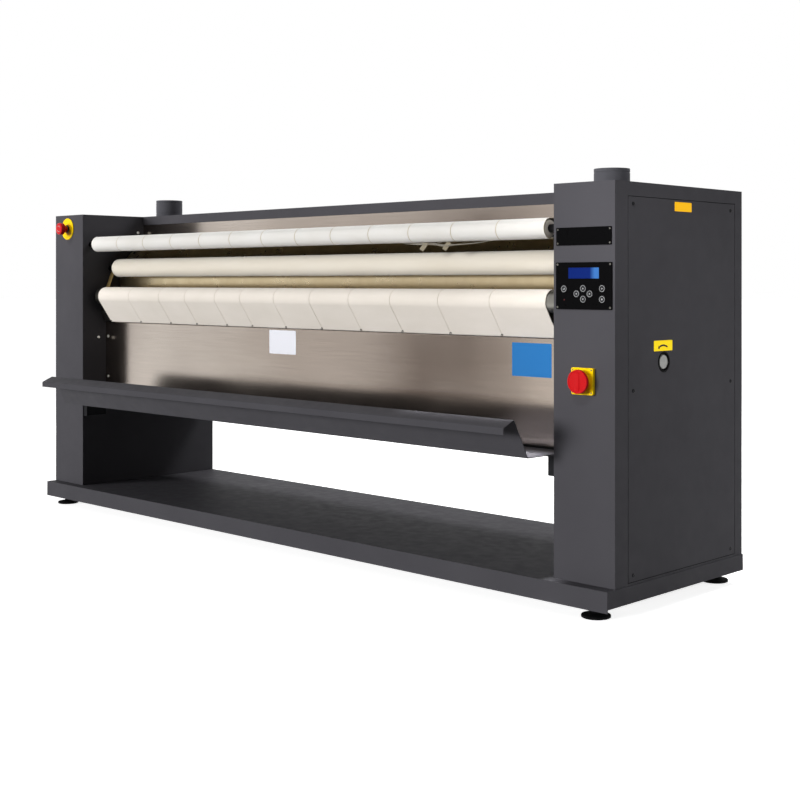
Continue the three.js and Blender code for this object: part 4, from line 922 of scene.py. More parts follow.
def exhaust_fan(side):
    """A moulded axial fan wheel: twisted blades on a hub, and its stub of shaft."""
    node = f"{side}_exhaust_fan"
    centre = middle_of(node)
    shaft, shaft_foot = 3 * MM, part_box(node)[0].z
    hub = [
        (0, shaft_foot), (shaft, shaft_foot), (shaft, FAN_HUB_LOW),
        (FAN_HUB_RADIUS - 1.5 * MM, FAN_HUB_LOW), (FAN_HUB_RADIUS, FAN_HUB_LOW + 1.5 * MM),
        (FAN_HUB_RADIUS, FAN_HUB_HIGH - 3 * MM), (14.5 * MM, FAN_HUB_HIGH - 0.8 * MM),
        (10 * MM, FAN_HUB_HIGH), (0, FAN_HUB_HIGH),
    ]
    parts = [painted(turned_mesh("hub", hub, 48), matt_black)]
    for k in range(FAN_BLADES):
        blade = fan_blade((FAN_HUB_LOW + FAN_HUB_HIGH) / 2)
        turned = Matrix.Rotation(2 * math.pi * k / FAN_BLADES, 4, "Z")
        parts.append(painted(blade, matt_black, turned))
    mesh = joined(node + "_wheel", parts)
    mesh.transform(Matrix.Translation((centre.x, centre.y, 0)))
    piece = add_piece(node + "_wheel", mesh, None, body=f"{side}_fan")
    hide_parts(node)


for side in ("left", "right"):
    exhaust_duct(side)
    exhaust_fan(side)

# ---------------------------------------------------------------- cylinder and rollers


TOP_RADIUS, PRESS_RADIUS, FEED_RADIUS, CYLINDER_RADIUS = 28.2 * MM, 37.5 * MM, 35 * MM, 165 * MM


def roller(name, node, half, radius, shaft, covering, body, ends_mm=2.0):
    """A roller with its shaft, half long each way and rounded over ends_mm at its rims."""
    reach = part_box(node)[1].x
    ease = ends_mm * MM
    arc = [math.radians(a) for a in range(0, 91, 15)]
    end = [(0, reach), (shaft - 1 * MM, reach), (shaft, reach - 1 * MM), (shaft, half)]
    end += [(radius - ease + ease * math.sin(a), half - ease + ease * math.cos(a)) for a in arc]
    stations = 60
    face = [(radius, half - ease - (half - ease) * 2 * k / stations) for k in range(1, stations)]
    mesh = turned_mesh(name, end + face + [(r, -x) for r, x in end[::-1]])
    for material in (black_screw, covering):
        mesh.materials.append(material)
    for polygon in mesh.polygons:
        inside = abs(polygon.center.z) <= half + TOUCHING
        off_axis = math.hypot(polygon.center.x, polygon.center.y)
        polygon.material_index = 1 if inside and off_axis > shaft + 0.1 * MM else 0
    centre = middle_of(node)
    mesh.transform(Matrix.Translation((0, centre.y, centre.z)) @ Z_TO_X)
    piece = add_piece(name, mesh, None, body=body)
    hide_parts(node)
    return piece


roller("top_roller_lagged", "top_roller", 1189 * MM, TOP_RADIUS, 12 * MM, roller_felt,
       "top_roller", ends_mm=9.0)
roller("feed_roller_drum", "feed_roller", 1206 * MM, FEED_RADIUS, 15 * MM, roller_steel,
       "feed_roller")
press = roller("press_roller_covered", "press_roller", 1190 * MM, PRESS_RADIUS, 15 * MM,
               roller_felt, "press_roller", ends_mm=13.0)
for name in ("front_guide_roller", "lower_guide_roller", "upper_guide_roller"):
    roller(name + "_drum", name, 1195 * MM, TOP_RADIUS, 12 * MM, roller_steel, name)


def ruffle_cover(piece, node):
    """The cloth cover isn't quite round: it swells and sinks a little along its length."""
    centre = middle_of(node)
    drawn_in, ripple = 0.35 * MM, 0.17 * MM
    for vertex in piece.data.vertices:
        x, y, z = vertex.co
        away = Vector((0, y - centre.y, z - centre.z))
        if away.length < PRESS_RADIUS * 0.9:  # the shaft and the end discs stay
            continue
        angle = math.atan2(away.z, away.y)
        swell = math.sin(x * 9.0 + 2 * math.sin(angle)) + math.sin(x * 23.0 + 3 * angle)
        vertex.co -= away.normalized() * (drawn_in + ripple * swell)


ruffle_cover(press, "press_roller")


def heated_cylinder():
    """A hollow drum with a hollow journal at each end."""
    low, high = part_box("heated_cylinder")
    centre = middle_of("heated_cylinder")
    face, journal, bore, wall, end_plate, ease = 1222 * MM, 40 * MM, 30 * MM, 6 * MM, 10 * MM, 3 * MM
    inside, inner_face = CYLINDER_RADIUS - wall, face - end_plate
    profile = [
        (bore, low.x), (journal, low.x), (journal, -face), (CYLINDER_RADIUS - ease, -face),
        (CYLINDER_RADIUS, -face + ease), (CYLINDER_RADIUS, face - ease),
        (CYLINDER_RADIUS - ease, face), (journal, face), (journal, high.x), (bore, high.x),
        (bore, inner_face), (inside, inner_face), (inside, -inner_face), (bore, -inner_face),
        (bore, low.x),
    ]
    mesh = turned_mesh("cylinder_shell", profile, 160)
    mesh.transform(Matrix.Translation((0, centre.y, centre.z)) @ Z_TO_X)
    piece = add_piece("cylinder_shell", mesh, cylinder_steel, body="cylinder")
    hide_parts("heated_cylinder")


heated_cylinder()

for name in ("heating_elements", "nose_bar", "cylinder_sprocket", "drive_shaft", "drive_chain"):
    dress(name, roller_steel)
for name in ("left_side_frame", "right_side_frame", "gearbox"):
    dress(name, grey_iron, 0.8)
for name in ("left_cylinder_bearing", "right_cylinder_bearing"):
    dress(name, grey_iron)
dress("drive_motor", motor_grey)

# ---------------------------------------------------------------- bands

BAND_THICKNESS = 2.4 * MM
SEAT = 0.35 * MM  # between a band and what it runs round
ARC_STEP = math.radians(6)
RUN_STEP = 45 * MM


def loop_path(wheels, offset):
    """The (y, z) points of a closed band round its wheels, given as (y, z, radius). A wheel with
    a negative radius presses on the loop from outside."""
    headings = []
    for i, (y, z, radius) in enumerate(wheels):
        next_y, next_z, next_radius = wheels[(i + 1) % len(wheels)]
        distance = math.hypot(next_y - y, next_z - z)
        bearing = math.atan2(next_z - z, next_y - y)
        headings.append(bearing + math.asin((radius - next_radius) / distance))
    arcs = []
    for i, (y, z, radius) in enumerate(wheels):
        before = headings[i - 1]
        sweep = headings[i] - before
        while sweep * radius < 0:
            sweep += math.copysign(2 * math.pi, radius)
        while abs(sweep) > 2 * math.pi:
            sweep -= math.copysign(2 * math.pi, sweep)
        steps = max(2, math.ceil(abs(sweep) / ARC_STEP))
        reach = radius + offset
        angles = [before - math.pi / 2 + sweep * k / steps for k in range(steps + 1)]
        arcs.append([(y + reach * math.cos(a), z + reach * math.sin(a)) for a in angles])
    runs = [
        max(1, round(math.dist(arc[-1], arcs[(i + 1) % len(arcs)][0]) / RUN_STEP))
        for i, arc in enumerate(arcs)
    ]
    points = []
    for i, arc in enumerate(arcs):
        points += arc
        start, end = arc[-1], arcs[(i + 1) % len(arcs)][0]
        for k in range(1, runs[i]):
            share = k / runs[i]
            points.append(tuple(a + (b - a) * share for a, b in zip(start, end)))
    return points


def band(name, wheels, x0, x1, material, skew):
    """One closed band of cloth with rounded edges, whose lower end lies skew further along X.
    Returns the piece and its length round the loop, on its outer face."""
    ease = 0.45 * MM
    width = x1 - x0
    section = [(x0 + ease, 0.0), (x0, BAND_THICKNESS / 2), (x0 + ease, BAND_THICKNESS)]
    section += [(x0 + width * share, BAND_THICKNESS) for share in (0.2, 0.4, 0.6, 0.8)]
    section += [(x1 - ease, BAND_THICKNESS), (x1, BAND_THICKNESS / 2), (x1 - ease, 0.0)]
    to_edge = [min(x - x0, x1 - x) for x, _ in section]
    rings = [loop_path(wheels, offset) for _, offset in section]
    outer = rings[len(rings) // 2]
    count, rows = len(outer), len(section)
    lengths = [0.0]
    for here, ahead in zip(outer, outer[1:] + outer[:1]):
        lengths.append(lengths[-1] + math.dist(here, ahead))
    low_z = min(z for _, z in outer)
    high_z = max(z for _, z in outer)
    points = []
    for i in range(count):
        for (x, _), ring in zip(section, rings):
            y, z = ring[i]
            drop = (high_z - z) / (high_z - low_z)
            points.append((x + skew * drop, y, z))
    faces, texture, selvedge = [], [], []
    for i in range(count):
        j = (i + 1) % count
        v0, v1 = lengths[i], lengths[i + 1]
        for k in range(rows):
            m = (k + 1) % rows
            faces.append((i * rows + k, i * rows + m, j * rows + m, j * rows + k))
            u0, u1 = section[k][0] - x0, section[m][0] - x0
            texture += [(u0, v0), (u1, v0), (u1, v1), (u0, v1)]
            selvedge += [(to_edge[k], 0), (to_edge[m], 0), (to_edge[m], 0), (to_edge[k], 0)]
    mesh = bpy.data.meshes.new(name)
    mesh.from_pydata(points, [], faces)
    for layer_name, places in (("cloth", texture), ("selvedge", selvedge)):
        layer = mesh.uv_layers.new(name=layer_name)
        for corner, place in zip(layer.data, places):
            corner.uv = place
    mesh.update()
    piece = add_piece(name, mesh, material, smooth_degrees=CLOTH_DEGREES)
    return piece, lengths[-1]


def wheel(node, radius):
    """What loop_path needs of a roller."""
    centre = middle_of(node)
    return (centre.y, centre.z, radius + SEAT)


cylinder_middle = middle_of("heated_cylinder")
ironing_wheels = [
    wheel("top_roller", TOP_RADIUS),
    (cylinder_middle.y, cylinder_middle.z, -(CYLINDER_RADIUS + SEAT + BAND_THICKNESS)),
    wheel("front_guide_roller", TOP_RADIUS),
    wheel("lower_guide_roller", TOP_RADIUS),
    wheel("upper_guide_roller", TOP_RADIUS),
]
NOSE_Y, NOSE_Z, NOSE_RADIUS = FRONT_Y + 106 * MM, 780 * MM, 6 * MM + SEAT
feed_wheels = [wheel("feed_roller", FEED_RADIUS), (NOSE_Y, NOSE_Z, NOSE_RADIUS)]
random.seed(7)


def band_row(name, wheels, widths, gap, material, node, skew_mm):
    """Bands side by side, each at most skew_mm out of true at its lower end."""
    seams = seams_between(widths)
    for k, (start, end) in enumerate(zip(seams, seams[1:])):
        skew = random.uniform(-skew_mm, skew_mm) * MM
        left, right = start + gap / 2, end - gap / 2
        piece, length = band(f"{name}_{k + 1:02d}", wheels, left, right, material, skew)
        if k == 0:
            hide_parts(node)


band_row("ironing_band", ironing_wheels, IRONING_WIDTHS, IRONING_GAP, band_cloth,
         "ironing_bands", 0.15)
band_row("feed_band", feed_wheels, FEED_WIDTHS, FEED_GAP, apron_cloth,
         "feed_bands", 0.25)


def seam_hooks():
    """A small wire hook with a clip holds the bands together at the foot of each seam of the
    apron, and one more sits just inside the left edge."""
    seams = seams_between(FEED_WIDTHS)[:-1]
    seams[0] += 4 * MM
    front = NOSE_Y - NOSE_RADIUS - BAND_THICKNESS - 0.2 * MM
    foot = NOSE_Z - NOSE_RADIUS
    half_width, half_depth, half_height, wire, steps = 3.4 * MM, 1.2 * MM, 4.6 * MM, 0.8 * MM, 16
    outline = rounded_rectangle(7.5 * MM, 8 * MM, 1.5 * MM)
    hooks = []
    for x in seams:
        line = []
        for k in range(steps + 1):
            angle = math.radians(-60 + 300 * k / steps)
            line.append((
                x + half_width * math.cos(angle),
                front + half_depth * math.sin(angle),
                foot + 1.5 * MM + half_height * math.sin(angle),
            ))
        hooks.append(painted(tube_mesh("hook", line, wire), black_screw))
        clip = plate_mesh("clip", outline, [], 0.8 * MM, 0.2 * MM)
        place = on_front(x + 1 * MM, front, foot + 7 * MM) @ Matrix.Rotation(0.3, 4, "Z")
        hooks.append(painted(clip, black_screw, place))
    add_piece("seam_hooks", joined("seam_hooks", hooks), None)


seam_hooks()


def tape(name, line, width, thickness, across, material):
    """A flat cloth tape along a line of points, its width lying along across."""
    line = [Vector(p) for p in line]
    points, faces = [], []
    for i, place in enumerate(line):
        heading = (line[min(i + 1, len(line) - 1)] - line[max(i - 1, 0)]).normalized()
        side = Vector(across) - heading * heading.dot(Vector(across))
        side.normalize()
        normal = heading.cross(side)
        for a, b in ((-1, -1), (1, -1), (1, 1), (-1, 1)):
            points.append(place + side * a * width / 2 + normal * b * thickness / 2)
    for i in range(len(line) - 1):
        for k in range(4):
            m = (k + 1) % 4
            faces.append((i * 4 + k, i * 4 + m, (i + 1) * 4 + m, (i + 1) * 4 + k))
    end = (len(line) - 1) * 4
    faces += [(0, 1, 2, 3), (end, end + 1, end + 2, end + 3)]
    mesh = mesh_of(name, points, faces)
    piece = add_piece(name, mesh, material, smooth_degrees=CLOTH_DEGREES)


def band_ties():
    """Loose ends of the tapes that lace two of the bands together, under the top roller."""
    centre = middle_of("top_roller")
    under = centre.z - TOP_RADIUS - BAND_THICKNESS - 1.2 * MM
    front = centre.y + 4 * MM
    tapes = {  # where each starts and ends along X, and how far it sags, in mm
        "tie_tape_long": (640, 950, 9),
        "tie_tape_short": (590, 760, 5),
        "tie_tape_middle": (700, 860, 12),
    }
    steps, sway = 24, 5 * MM
    for name, (start, end, sag) in tapes.items():
        line = []
        for k in range(steps + 1):
            share = k / steps
            x = (start + (end - start) * share) * MM
            y = front + sway * math.sin(3 * math.pi * share)
            line.append((x, y, under - math.sin(math.pi * share) * sag * MM))
        tape(name, line, 10.5 * MM, 0.6 * MM, (0, 0.97, 0.24), lacing_cloth)
    back_step, down_step = 2 * MM, 4 * MM
    for name, x_mm in (("tie_tab_left", 690), ("tie_tab_right", 788)):
        line = [
            (x_mm * MM - back_step * k, front - back_step * k, under - down_step * k)
            for k in range(7)
        ]
        tape(name, line, 18 * MM, 0.8 * MM, (1, 0.2, 0), lacing_cloth)


def tension_strap():
    """The elastic strap at the left end, from the press roller's shaft to the feed roller's."""
    high, low = middle_of("press_roller"), middle_of("feed_roller")
    start = Vector((-1203 * MM, high.y - 16 * MM, high.z - 17 * MM))
    end = Vector((-1203 * MM, low.y + 22 * MM, low.z + 24 * MM))
    crown, steps = 1.5 * MM, 8
    line = []
    for k in range(steps + 1):
        share = k / steps
        rise = Vector((0, 0, crown * math.sin(math.pi * share)))
        line.append(start.lerp(end, share) + rise)
    tape("tension_strap", line, 17 * MM, 1.6 * MM, (1, 0.35, 0), strap_cloth)


band_ties()
tension_strap()

# ---------------------------------------------------------------- name plate and labels


def front_label(name, y, x_mm, z_mm, material, thickness_mm=0.3, corner_mm=3.0):
    """A bare label or plate on a face that looks forward, between two places along X and Z."""
    (x0, x1), (z0, z1) = x_mm, z_mm
    outline = rounded_rectangle((x1 - x0) * MM, (z1 - z0) * MM, corner_mm * MM)
    ease = min(0.4, thickness_mm / 3) * MM
    mesh = plate_mesh(name, outline, [], thickness_mm * MM, ease)
    mesh.transform(on_front((x0 + x1) / 2 * MM, y, (z0 + z1) / 2 * MM))
    add_piece(name, mesh, material, smooth_degrees=PLATE_DEGREES)


def side_label(name, y_mm, z_mm, material, extra=()):
    """A bare label on the right door, between two places back from the front and up."""
    (y0, y1), (z0, z1) = y_mm, z_mm
    outline = rounded_rectangle((y1 - y0) * MM, (z1 - z0) * MM, 2 * MM)
    plate = painted(plate_mesh(name, outline, [], 0.4 * MM, 0.1 * MM), material)
    mesh = joined(name, [plate, *extra])
    mesh.transform(on_side(SIDE_X, FRONT_Y + (y0 + y1) / 2 * MM, (z0 + z1) / 2 * MM))
    add_piece(name, mesh, None, smooth_degrees=PLATE_DEGREES)


def curved_arrow(outer, inner, degrees, head):
    """The outline of a plain arrow bent round the origin. Its head is that much wider each side."""
    start, end = (math.radians(d) for d in degrees)
    steps = 14
    angles = [start + (end - start) * k / steps for k in range(steps + 1)]
    middle = (outer + inner) / 2
    tip = end + 1.8 * head / middle
    ring = [(outer * math.cos(a), outer * math.sin(a)) for a in angles]
    ring.append(((outer + head) * math.cos(end), (outer + head) * math.sin(end)))
    ring.append((middle * math.cos(tip), middle * math.sin(tip)))
    ring.append(((inner - head) * math.cos(end), (inner - head) * math.sin(end)))
    ring += [(inner * math.cos(a), inner * math.sin(a)) for a in reversed(angles)]
    return ring


def turning_arrow():
    """A plain curved arrow that shows which way the crank turns."""
    outer, inner = 46 * MM, 41 * MM
    drop = (outer + inner) / 2 - 1 * MM
    outline = [(x, y - drop) for x, y in curved_arrow(outer, inner, (60, 118), 4 * MM)]
    arrow = plate_mesh("arrow", outline, [], 0.2 * MM, 0.05 * MM)
    return painted(arrow, black_print, Matrix.Translation((0, 0, 0.35 * MM)))


front_label("name_plate", FRONT_Y, (1245, 1437), (1042, 1093), gloss_black,
            thickness_mm=2.0, corner_mm=2.0)
plate_corners = [
    (x * MM, FRONT_Y - 2 * MM, z * MM) for x in (1251, 1431) for z in (1048, 1087)
]
screws("name_plate_screws", plate_corners, on_front, 2.6, 1.2, roller_steel)
front_label("white_label", PANEL_Y, (-162, -15), (677, 763), white_label)
front_label("blue_label", PANEL_Y, (988, 1140), (652, 754), blue_label)
side_label("door_label", (298, 388), (1145, 1172), amber_label)
side_label("crank_label", (190, 285), (740, 770), lemon_label, [turning_arrow()])

# ---------------------------------------------------------------- crank port


def crank_port():
    """The rubber ring round the hole for the hand crank, and the turned face of the disc in it."""
    low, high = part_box("crank_port_grommet")
    centre = middle_of("crank_port_grommet")
    bore, lip, through = 25 * MM, 30 * MM, 27.2 * MM
    seat_x = SIDE_X + 0.2 * MM
    profile = [
        (bore, low.x), (through, low.x), (through, seat_x), (lip, seat_x),
        (lip, high.x - 0.6 * MM), (lip - 1.2 * MM, high.x), (bore + 1 * MM, high.x),
        (bore, high.x - 0.8 * MM), (bore, low.x),
    ]
    mesh = turned_mesh("crank_port_ring", profile)
    mesh.transform(Matrix.Translation((0, centre.y, centre.z)) @ Z_TO_X)
    ring = add_piece("crank_port_ring", mesh, foot_rubber)
    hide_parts("crank_port_grommet")

    hollow, radius, depth = 2 * MM, 20.2 * MM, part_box("drive_shaft")[1].x - SIDE_X
    face = [
        (0, -0.4 * MM), (hollow, -0.4 * MM), (hollow + 0.6 * MM, 0), (radius - 0.8 * MM, 0),
        (radius, -0.8 * MM), (radius, depth), (0, depth),
    ]
    disc = turned_mesh("crank_disc_face", face)
    disc.transform(Matrix.Translation((SIDE_X - 0.6 * MM, centre.y, centre.z)) @ Z_TO_X)
    add_piece("crank_disc_face", disc, dull_zinc, body="drive_shaft")


crank_port()

# ---------------------------------------------------------------- keypad


def arrow_head(degrees):
    """A small triangle that points along the given direction."""
    radius = 3.2 * MM
    angles = [math.radians(degrees + turn_by) for turn_by in (0, 125, 235)]
    return [(radius * math.cos(a), radius * math.sin(a)) for a in angles]


def return_mark():
    """A bent bar with a head, as on a return key."""
    corners = [
        (-3.6, -1.2), (-1.2, 0.8), (-1.2, -0.4), (2.0, -0.4), (2.0, 2.6), (3.4, 2.6), (3.4, -2.0),
        (-1.2, -2.0), (-1.2, -3.2),
    ]
    return [(x * MM, y * MM) for x, y in corners]


button_marks = {
    "button_enter": return_mark(),
    "button_up": arrow_head(90),
    "button_left": arrow_head(180),
    "button_right": arrow_head(0),
    "button_down": arrow_head(270),
    "button_start": arrow_head(0),
    "button_stop": rectangle(4.6 * MM, 4.6 * MM),
}


def keypad():
    """The glossy face with its holes for the buttons and the screen, four screws and a lamp."""
    low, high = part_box("keypad_plate")
    centre = middle_of("keypad_plate")
    outline = rounded_rectangle(high.x - low.x, high.z - low.z, 3 * MM)
    holes = []
    for name in button_marks:
        spot = middle_of(name) - centre
        holes.append(circle(10.3 * MM, spot.x, spot.z)[::-1])
    screen_z = 963.5 * MM
    screen = rounded_rectangle(106 * MM, 31 * MM, 1.5 * MM, y=screen_z - centre.z)
    holes.append(screen[::-1])
    mesh = plate_mesh("keypad_face", outline, holes, high.y - low.y, 0.4 * MM)
    mesh.transform(on_front(centre.x, high.y, centre.z))
    face = add_piece(
        "keypad_face", mesh, gloss_black, smooth_degrees=PLATE_DEGREES
    )
    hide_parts("keypad_plate")
    inset = 6 * MM
    corners = [
        (x, low.y, z)
        for x in (low.x + inset, high.x - inset)
        for z in (low.z + inset, high.z - inset)
    ]
    screws("keypad_screws", corners, on_front, 3.0, 1.3, roller_steel)
    lens = [(0, 0), (2.2 * MM, 0), (1.9 * MM, 0.8 * MM), (0, 1.3 * MM)]
    lamp = turned_mesh("status_lamp", lens, 24)
    lamp.transform(on_front(1275 * MM, low.y, 888 * MM))
    add_piece("status_lamp", lamp, lamp_red)


def keypad_button(node, mark):
    """A domed cap with a printed ring and a plain sign."""
    low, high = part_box(node)
    centre = middle_of(node)
    depth = high.y - low.y
    skirt, radius, ring_outer, ring_inner = 11.5 * MM, 10 * MM, 9.0 * MM, 7.9 * MM
    cap = [
        (0, 0), (skirt, 0), (skirt, 1.2 * MM), (radius, 1.2 * MM), (radius, depth - 1.2 * MM),
        (9.4 * MM, depth - 0.5 * MM), (8 * MM, depth - 0.25 * MM), (0, depth - 0.25 * MM),
    ]
    print_height = 0.15 * MM
    ring = [
        (ring_inner, 0), (ring_outer, 0), (ring_outer, print_height), (ring_inner, print_height),
        (ring_inner, 0),
    ]
    raise_print = Matrix.Translation((0, 0, depth - 0.3 * MM))
    sign = plate_mesh("mark", mark, [], print_height, 0.03 * MM)
    parts = [
        painted(turned_mesh("cap", cap, 48), matt_black),
        painted(turned_mesh("ring", ring, 48), print_grey, raise_print),
        painted(sign, print_grey, raise_print),
    ]
    mesh = joined(node + "_cap", parts)
    mesh.transform(on_front(centre.x, high.y, centre.z))
    piece = add_piece(node + "_cap", mesh, None, body=node)
    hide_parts(node)


keypad()
dress("display_module", screen_blue)
for name, mark in button_marks.items():
    keypad_button(name, mark)

# ---------------------------------------------------------------- main switch


def switch_shield():
    """The square yellow plate behind the knob, with a screw at each corner."""
    low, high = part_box("main_switch_plate")
    centre = middle_of("main_switch_plate")
    outline = rounded_rectangle(high.x - low.x, high.z - low.z, 5 * MM)
    bore = circle(6.4 * MM)[::-1]
    mesh = plate_mesh("switch_shield", outline, [bore], high.y - low.y, 1.5 * MM)
    mesh.transform(on_front(centre.x, high.y, centre.z))
    shield = add_piece(
        "switch_shield", mesh, yellow, smooth_degrees=PLATE_DEGREES
    )
    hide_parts("main_switch_plate")
    reach = 32 * MM
    places = [
        (centre.x + dx, low.y, centre.z + dz) for dx in (-reach, reach) for dz in (-reach, reach)
    ]
    screws("switch_screws", places, on_front, 2.4, 0.8, roller_steel)


def switch_knob():
    """A flat disc on a neck, hollowed inside its rim, with a bar across the hollow to grip."""
    plate_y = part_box("main_switch_plate")[0].y
    centre = middle_of("main_switch_plate")
    gap = 0.3 * MM
    depth = plate_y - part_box("main_switch_knob")[0].y - gap
    neck, radius, rim_radius, hollow = 20 * MM, 34 * MM, 29.5 * MM, 28 * MM
    back, rim_top = depth - 10 * MM, depth - 0.4 * MM
    handle = [
        (0, 0), (neck, 0), (neck, back - 1 * MM), (neck + 1 * MM, back), (radius - 1 * MM, back),
        (radius, back + 1 * MM), (radius, depth - 2.5 * MM), (radius - 0.7 * MM, depth - 1 * MM),
        (radius - 2.5 * MM, rim_top), (rim_radius, rim_top),
        (rim_radius - 0.9 * MM, depth - 0.8 * MM), (hollow, depth - 1.6 * MM),
        (0, depth - 1.7 * MM),
    ]
    shaft_radius, shaft_back = 6 * MM, -30 * MM
    shaft = [(0, shaft_back), (shaft_radius, shaft_back), (shaft_radius, 1 * MM), (0, 1 * MM)]
    grip = plate_mesh("grip", rounded_rectangle(14 * MM, 52 * MM, 4 * MM), [], 2.2 * MM, 0.9 * MM)
    parts = [
        painted(turned_mesh("handle", handle), red),
        painted(turned_mesh("shaft", shaft, 24), black_screw),
        painted(grip, red, Matrix.Translation((0, 0, depth - 2.6 * MM))),
    ]
    mesh = joined("switch_knob_grip", parts)
    mesh.transform(on_front(centre.x, plate_y - gap, centre.z))
    knob = add_piece("switch_knob_grip", mesh, None, body="switch_knob")
    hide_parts("main_switch_knob")


switch_shield()
switch_knob()
dress("main_switch_body", matt_black, 1.0)

# ---------------------------------------------------------------- emergency stop


def stop_ring():
    """The round yellow plate, with a shallow groove round its inner field."""
    low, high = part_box("emergency_stop_plate")
    centre = middle_of("emergency_stop_plate")
    thickness = high.y - low.y
    bore, radius, groove_floor = 11.4 * MM, 45 * MM, thickness - 0.4 * MM
    profile = [
        (bore, 0), (radius, 0), (radius, thickness - 0.8 * MM), (radius - 1 * MM, thickness),
        (36 * MM, thickness), (35.5 * MM, groove_floor), (34.5 * MM, groove_floor),
        (34 * MM, thickness), (bore, thickness), (bore, 0),
    ]
    mesh = turned_mesh("stop_ring", profile)
    mesh.transform(on_front(centre.x, high.y, centre.z))
    ring = add_piece("stop_ring", mesh, yellow)
    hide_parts("emergency_stop_plate")


def stop_mushroom():
    """The red head: a cap on a neck, hollow behind for its stem. Two arrows show which way it
    twists free."""
    low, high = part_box("emergency_stop_head")
    centre = middle_of("emergency_stop_plate")
    depth = high.y - low.y
    radius = (high.x - low.x) / 2
    bore, bore_depth, neck, cap_back, ease = 3.8 * MM, 11.4 * MM, 15 * MM, 13 * MM, 3.5 * MM
    cap = [
        (bore, 0), (neck, 0), (neck, cap_back - 4 * MM), (neck + 1 * MM, cap_back - 2 * MM),
        (radius - 1.6 * MM, cap_back), (radius, cap_back + 2 * MM), (radius, depth - ease),
    ]
    for angle in (math.radians(degrees) for degrees in (20, 40, 60, 80)):
        inward = ease * (math.cos(angle) - 1)
        cap.append((radius + inward, depth - ease + 3.1 * MM * math.sin(angle)))
    cap += [(15 * MM, depth - 0.1 * MM), (0, depth), (0, bore_depth), (bore, bore_depth), (bore, 0)]
    parts = [painted(turned_mesh("cap", cap), red)]
    outline = curved_arrow(12.6 * MM, 10.8 * MM, (25, 110), 1.6 * MM)
    for turned in (0, math.pi):
        arrow = plate_mesh("arrow", outline, [], 0.3 * MM, 0.06 * MM)
        place = Matrix.Translation((0, 0, depth - 0.3 * MM)) @ Matrix.Rotation(turned, 4, "Z")
        parts.append(painted(arrow, print_grey, place))
    mesh = joined("stop_mushroom", parts)
    mesh.transform(on_front(centre.x, high.y, centre.z))
    head = add_piece("stop_mushroom", mesh, None, body="stop_head")
    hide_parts("emergency_stop_head")


stop_ring()
stop_mushroom()
dress("emergency_stop_body", matt_black)
dress("emergency_stop_stem", roller_steel)

# ---------------------------------------------------------------- mains gland


def mains_gland():
    """A cable gland through the rear wall, clamped by a nut on each side."""
    low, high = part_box("mains_gland")
    centre = middle_of("mains_gland")
    length, wall = high.y - low.y, REAR_Y - low.y
    bore, tube, dome, collar = 7 * MM, 12 * MM, 13.5 * MM, 15.5 * MM
    profile = [
        (bore, 0), (tube, 0), (tube, 14 * MM), (collar, 14 * MM), (collar, 20 * MM),
        (dome, 22 * MM), (dome, 24 * MM), (dome - 1 * MM, length - 1 * MM), (11 * MM, length),
        (bore, length), (bore, 0),
    ]
    outer_place = Matrix.Translation((0, 0, wall + 0.4 * MM))
    parts = [
        painted(turned_mesh("body", profile, 48), matt_black),
        painted(hexagon_mesh("nut", 30 * MM, 9.5 * MM, 1 * MM), matt_black),
        painted(hexagon_mesh("nut", 30 * MM, 7 * MM, 1 * MM), matt_black, outer_place),
    ]
    mesh = joined("mains_gland_body", parts)
    mesh.transform(Matrix.Translation((centre.x, low.y, centre.z)) @ Z_TO_Y)
    piece = add_piece("mains_gland_body", mesh, None)
    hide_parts("mains_gland")


mains_gland()

# ---------------------------------------------------------------- floor and light

FLOOR_TONE = "#ffffff"  # as the camera sees it
FLOOR_BOUNCE = "#8c8c8c"  # as it lights the machine from below
FLOOR_GLOW = 0.8
FLOOR_REACH = 60.0
SKY_LIGHT = 0.13
WHITE = (1, 1, 1, 1)
CARD_Y = -5.7
CARD_FOOT = 0.01
CARD_TOP = 1.7


def seen_directly(tree):
    """1 for the rays that the camera, a mirror or glass sends out, 0 for scattered light."""
    path = add_node(tree, "ShaderNodeLightPath").outputs
    direct = calculate(tree, "MAXIMUM", path["Is Camera Ray"], path["Is Glossy Ray"])
    return calculate(tree, "MAXIMUM", direct, path["Is Transmission Ray"])


def studio_floor():
    """A pale studio floor. What the camera sees of it is white and keeps the shadow."""
    material, tree, shader = start_material(
        "studio_floor", FLOOR_TONE, 0.9, Specular_IOR_Level=0.0, Emission_Color=WHITE
    )
    seen = seen_directly(tree)
    tree.links.new(ramp(tree, seen, 0, 1, 0.0, FLOOR_GLOW), shader.inputs["Emission Strength"])
    tone = blend_colours(tree, seen, colour(FLOOR_BOUNCE), colour(FLOOR_TONE))
    tree.links.new(tone, shader.inputs["Base Color"])
    corners = [(x, y, 0) for x, y in rectangle(2 * FLOOR_REACH, 2 * FLOOR_REACH)]
    mesh = mesh_of("studio_floor", corners, [(0, 1, 2, 3)])
    mesh.materials.append(material)
    floor = bpy.data.objects.new("studio_floor", mesh)
    scene.collection.objects.link(floor)


def studio_sky():
    """White where it is seen or mirrored, and dim as a light."""
    world = bpy.data.worlds.new("studio")
    world.use_nodes = True
    tree = world.node_tree
    background = tree.nodes["Background"]
    background.inputs["Color"].default_value = WHITE
    level = ramp(tree, seen_directly(tree), 0, 1, SKY_LIGHT, 1.0)
    tree.links.new(level, background.inputs["Strength"])
    scene.world = world


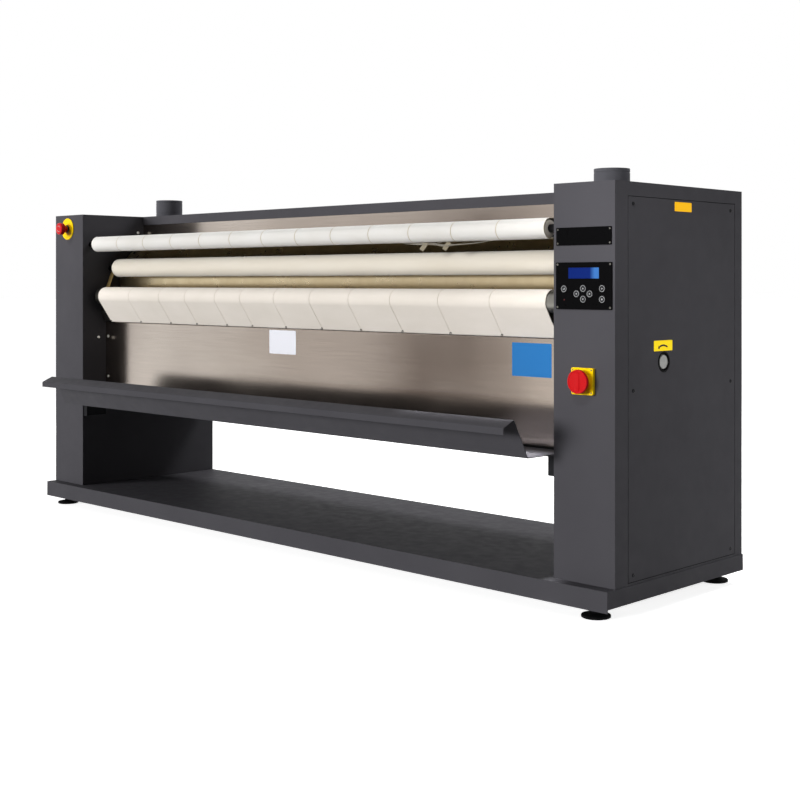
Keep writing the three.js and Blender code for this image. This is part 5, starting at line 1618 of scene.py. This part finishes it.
def studio_card(name, x0, x1, tone):
    """A glowing card in front of the machine, which only the metal mirrors: the camera doesn't see
    it, and it casts neither light nor shadow."""
    material = start_material(
        name, "#000000", 0.9, Emission_Strength=1.0, Emission_Color=colour(tone)
    )[0]
    corners = [
        (x0, CARD_Y, CARD_FOOT), (x1, CARD_Y, CARD_FOOT), (x1, CARD_Y, CARD_TOP),
        (x0, CARD_Y, CARD_TOP),
    ]
    mesh = mesh_of(name, corners, [(0, 1, 2, 3)])
    mesh.materials.append(material)
    card = bpy.data.objects.new(name, mesh)
    scene.collection.objects.link(card)
    card.visible_camera = False
    card.visible_diffuse = False
    card.visible_shadow = False


def aim(lamp_name, lamp, place, target):
    """Puts a lamp in the scene. It lights what it falls on, but neither the camera nor a mirroring
    metal sees its shape."""
    light = bpy.data.objects.new(lamp_name, lamp)
    light.location = place
    heading = Vector(target) - Vector(place)
    light.rotation_euler = heading.to_track_quat("-Z", "Y").to_euler()
    light.visible_glossy = False
    light.visible_camera = False
    scene.collection.objects.link(light)


def broad_light(name, place, target, strength, degrees):
    """A large far lamp in front of the machine: it lights both ends alike, with soft shadows."""
    lamp = bpy.data.lights.new(name, "SUN")
    lamp.energy = strength
    lamp.angle = math.radians(degrees)
    aim(name, lamp, place, target)


def soft_light(name, place, target, size, power, spread_degrees=180):
    """A flat panel of light, whose rays leave it within that angle."""
    lamp = bpy.data.lights.new(name, "AREA")
    lamp.spread = math.radians(spread_degrees)
    lamp.shape = "RECTANGLE"
    lamp.size, lamp.size_y = size
    lamp.energy = power
    aim(name, lamp, place, target)


def spot_light(name, place, target, degrees, power):
    """A shaded lamp that lights only what is inside its cone."""
    lamp = bpy.data.lights.new(name, "SPOT")
    lamp.spot_size = math.radians(degrees)
    lamp.spot_blend = 1.0
    lamp.shadow_soft_size = 0.3
    lamp.energy = power
    aim(name, lamp, place, target)


studio_floor()
studio_sky()
studio_card("left_card", -7.5, -6.4, "#c2bcb7")
studio_card("grey_card", -6.4, -5.05, "#e6e1dd")
studio_card("dark_card", -5.05, -3.74, "#533f36")
studio_card("middle_card", -3.74, -2.6, "#fffaf4")
broad_light("key_light", (-3.4, -8.0, 1.75), (0, 0, 0.8), 3.85, 24)
spot_light("left_top_light", (-1.9, -1.7, 2.5), (-1.46, -0.25, 1.15), 24, 90)
spot_light("right_top_light", (1.9, -1.7, 2.5), (1.46, -0.25, 1.15), 22, 190)
soft_light("fill_light", (4.6, 0.8, 1.2), (1.4, 0, 0.8), (1.4, 1.4), 30)
soft_light("rear_light", (0, 3.0, 4.2), (0, 0.4, 0.7), (4.0, 1.0), 170)
soft_light("tray_light", (1.0, -0.31, 1.02), (1.0, -0.31, 0.5), (0.44, 0.15), 1.35, 14)
soft_light("left_fill_light", (-4.6, 0.8, 1.2), (-1.4, 0, 0.8), (1.4, 1.4), 30)
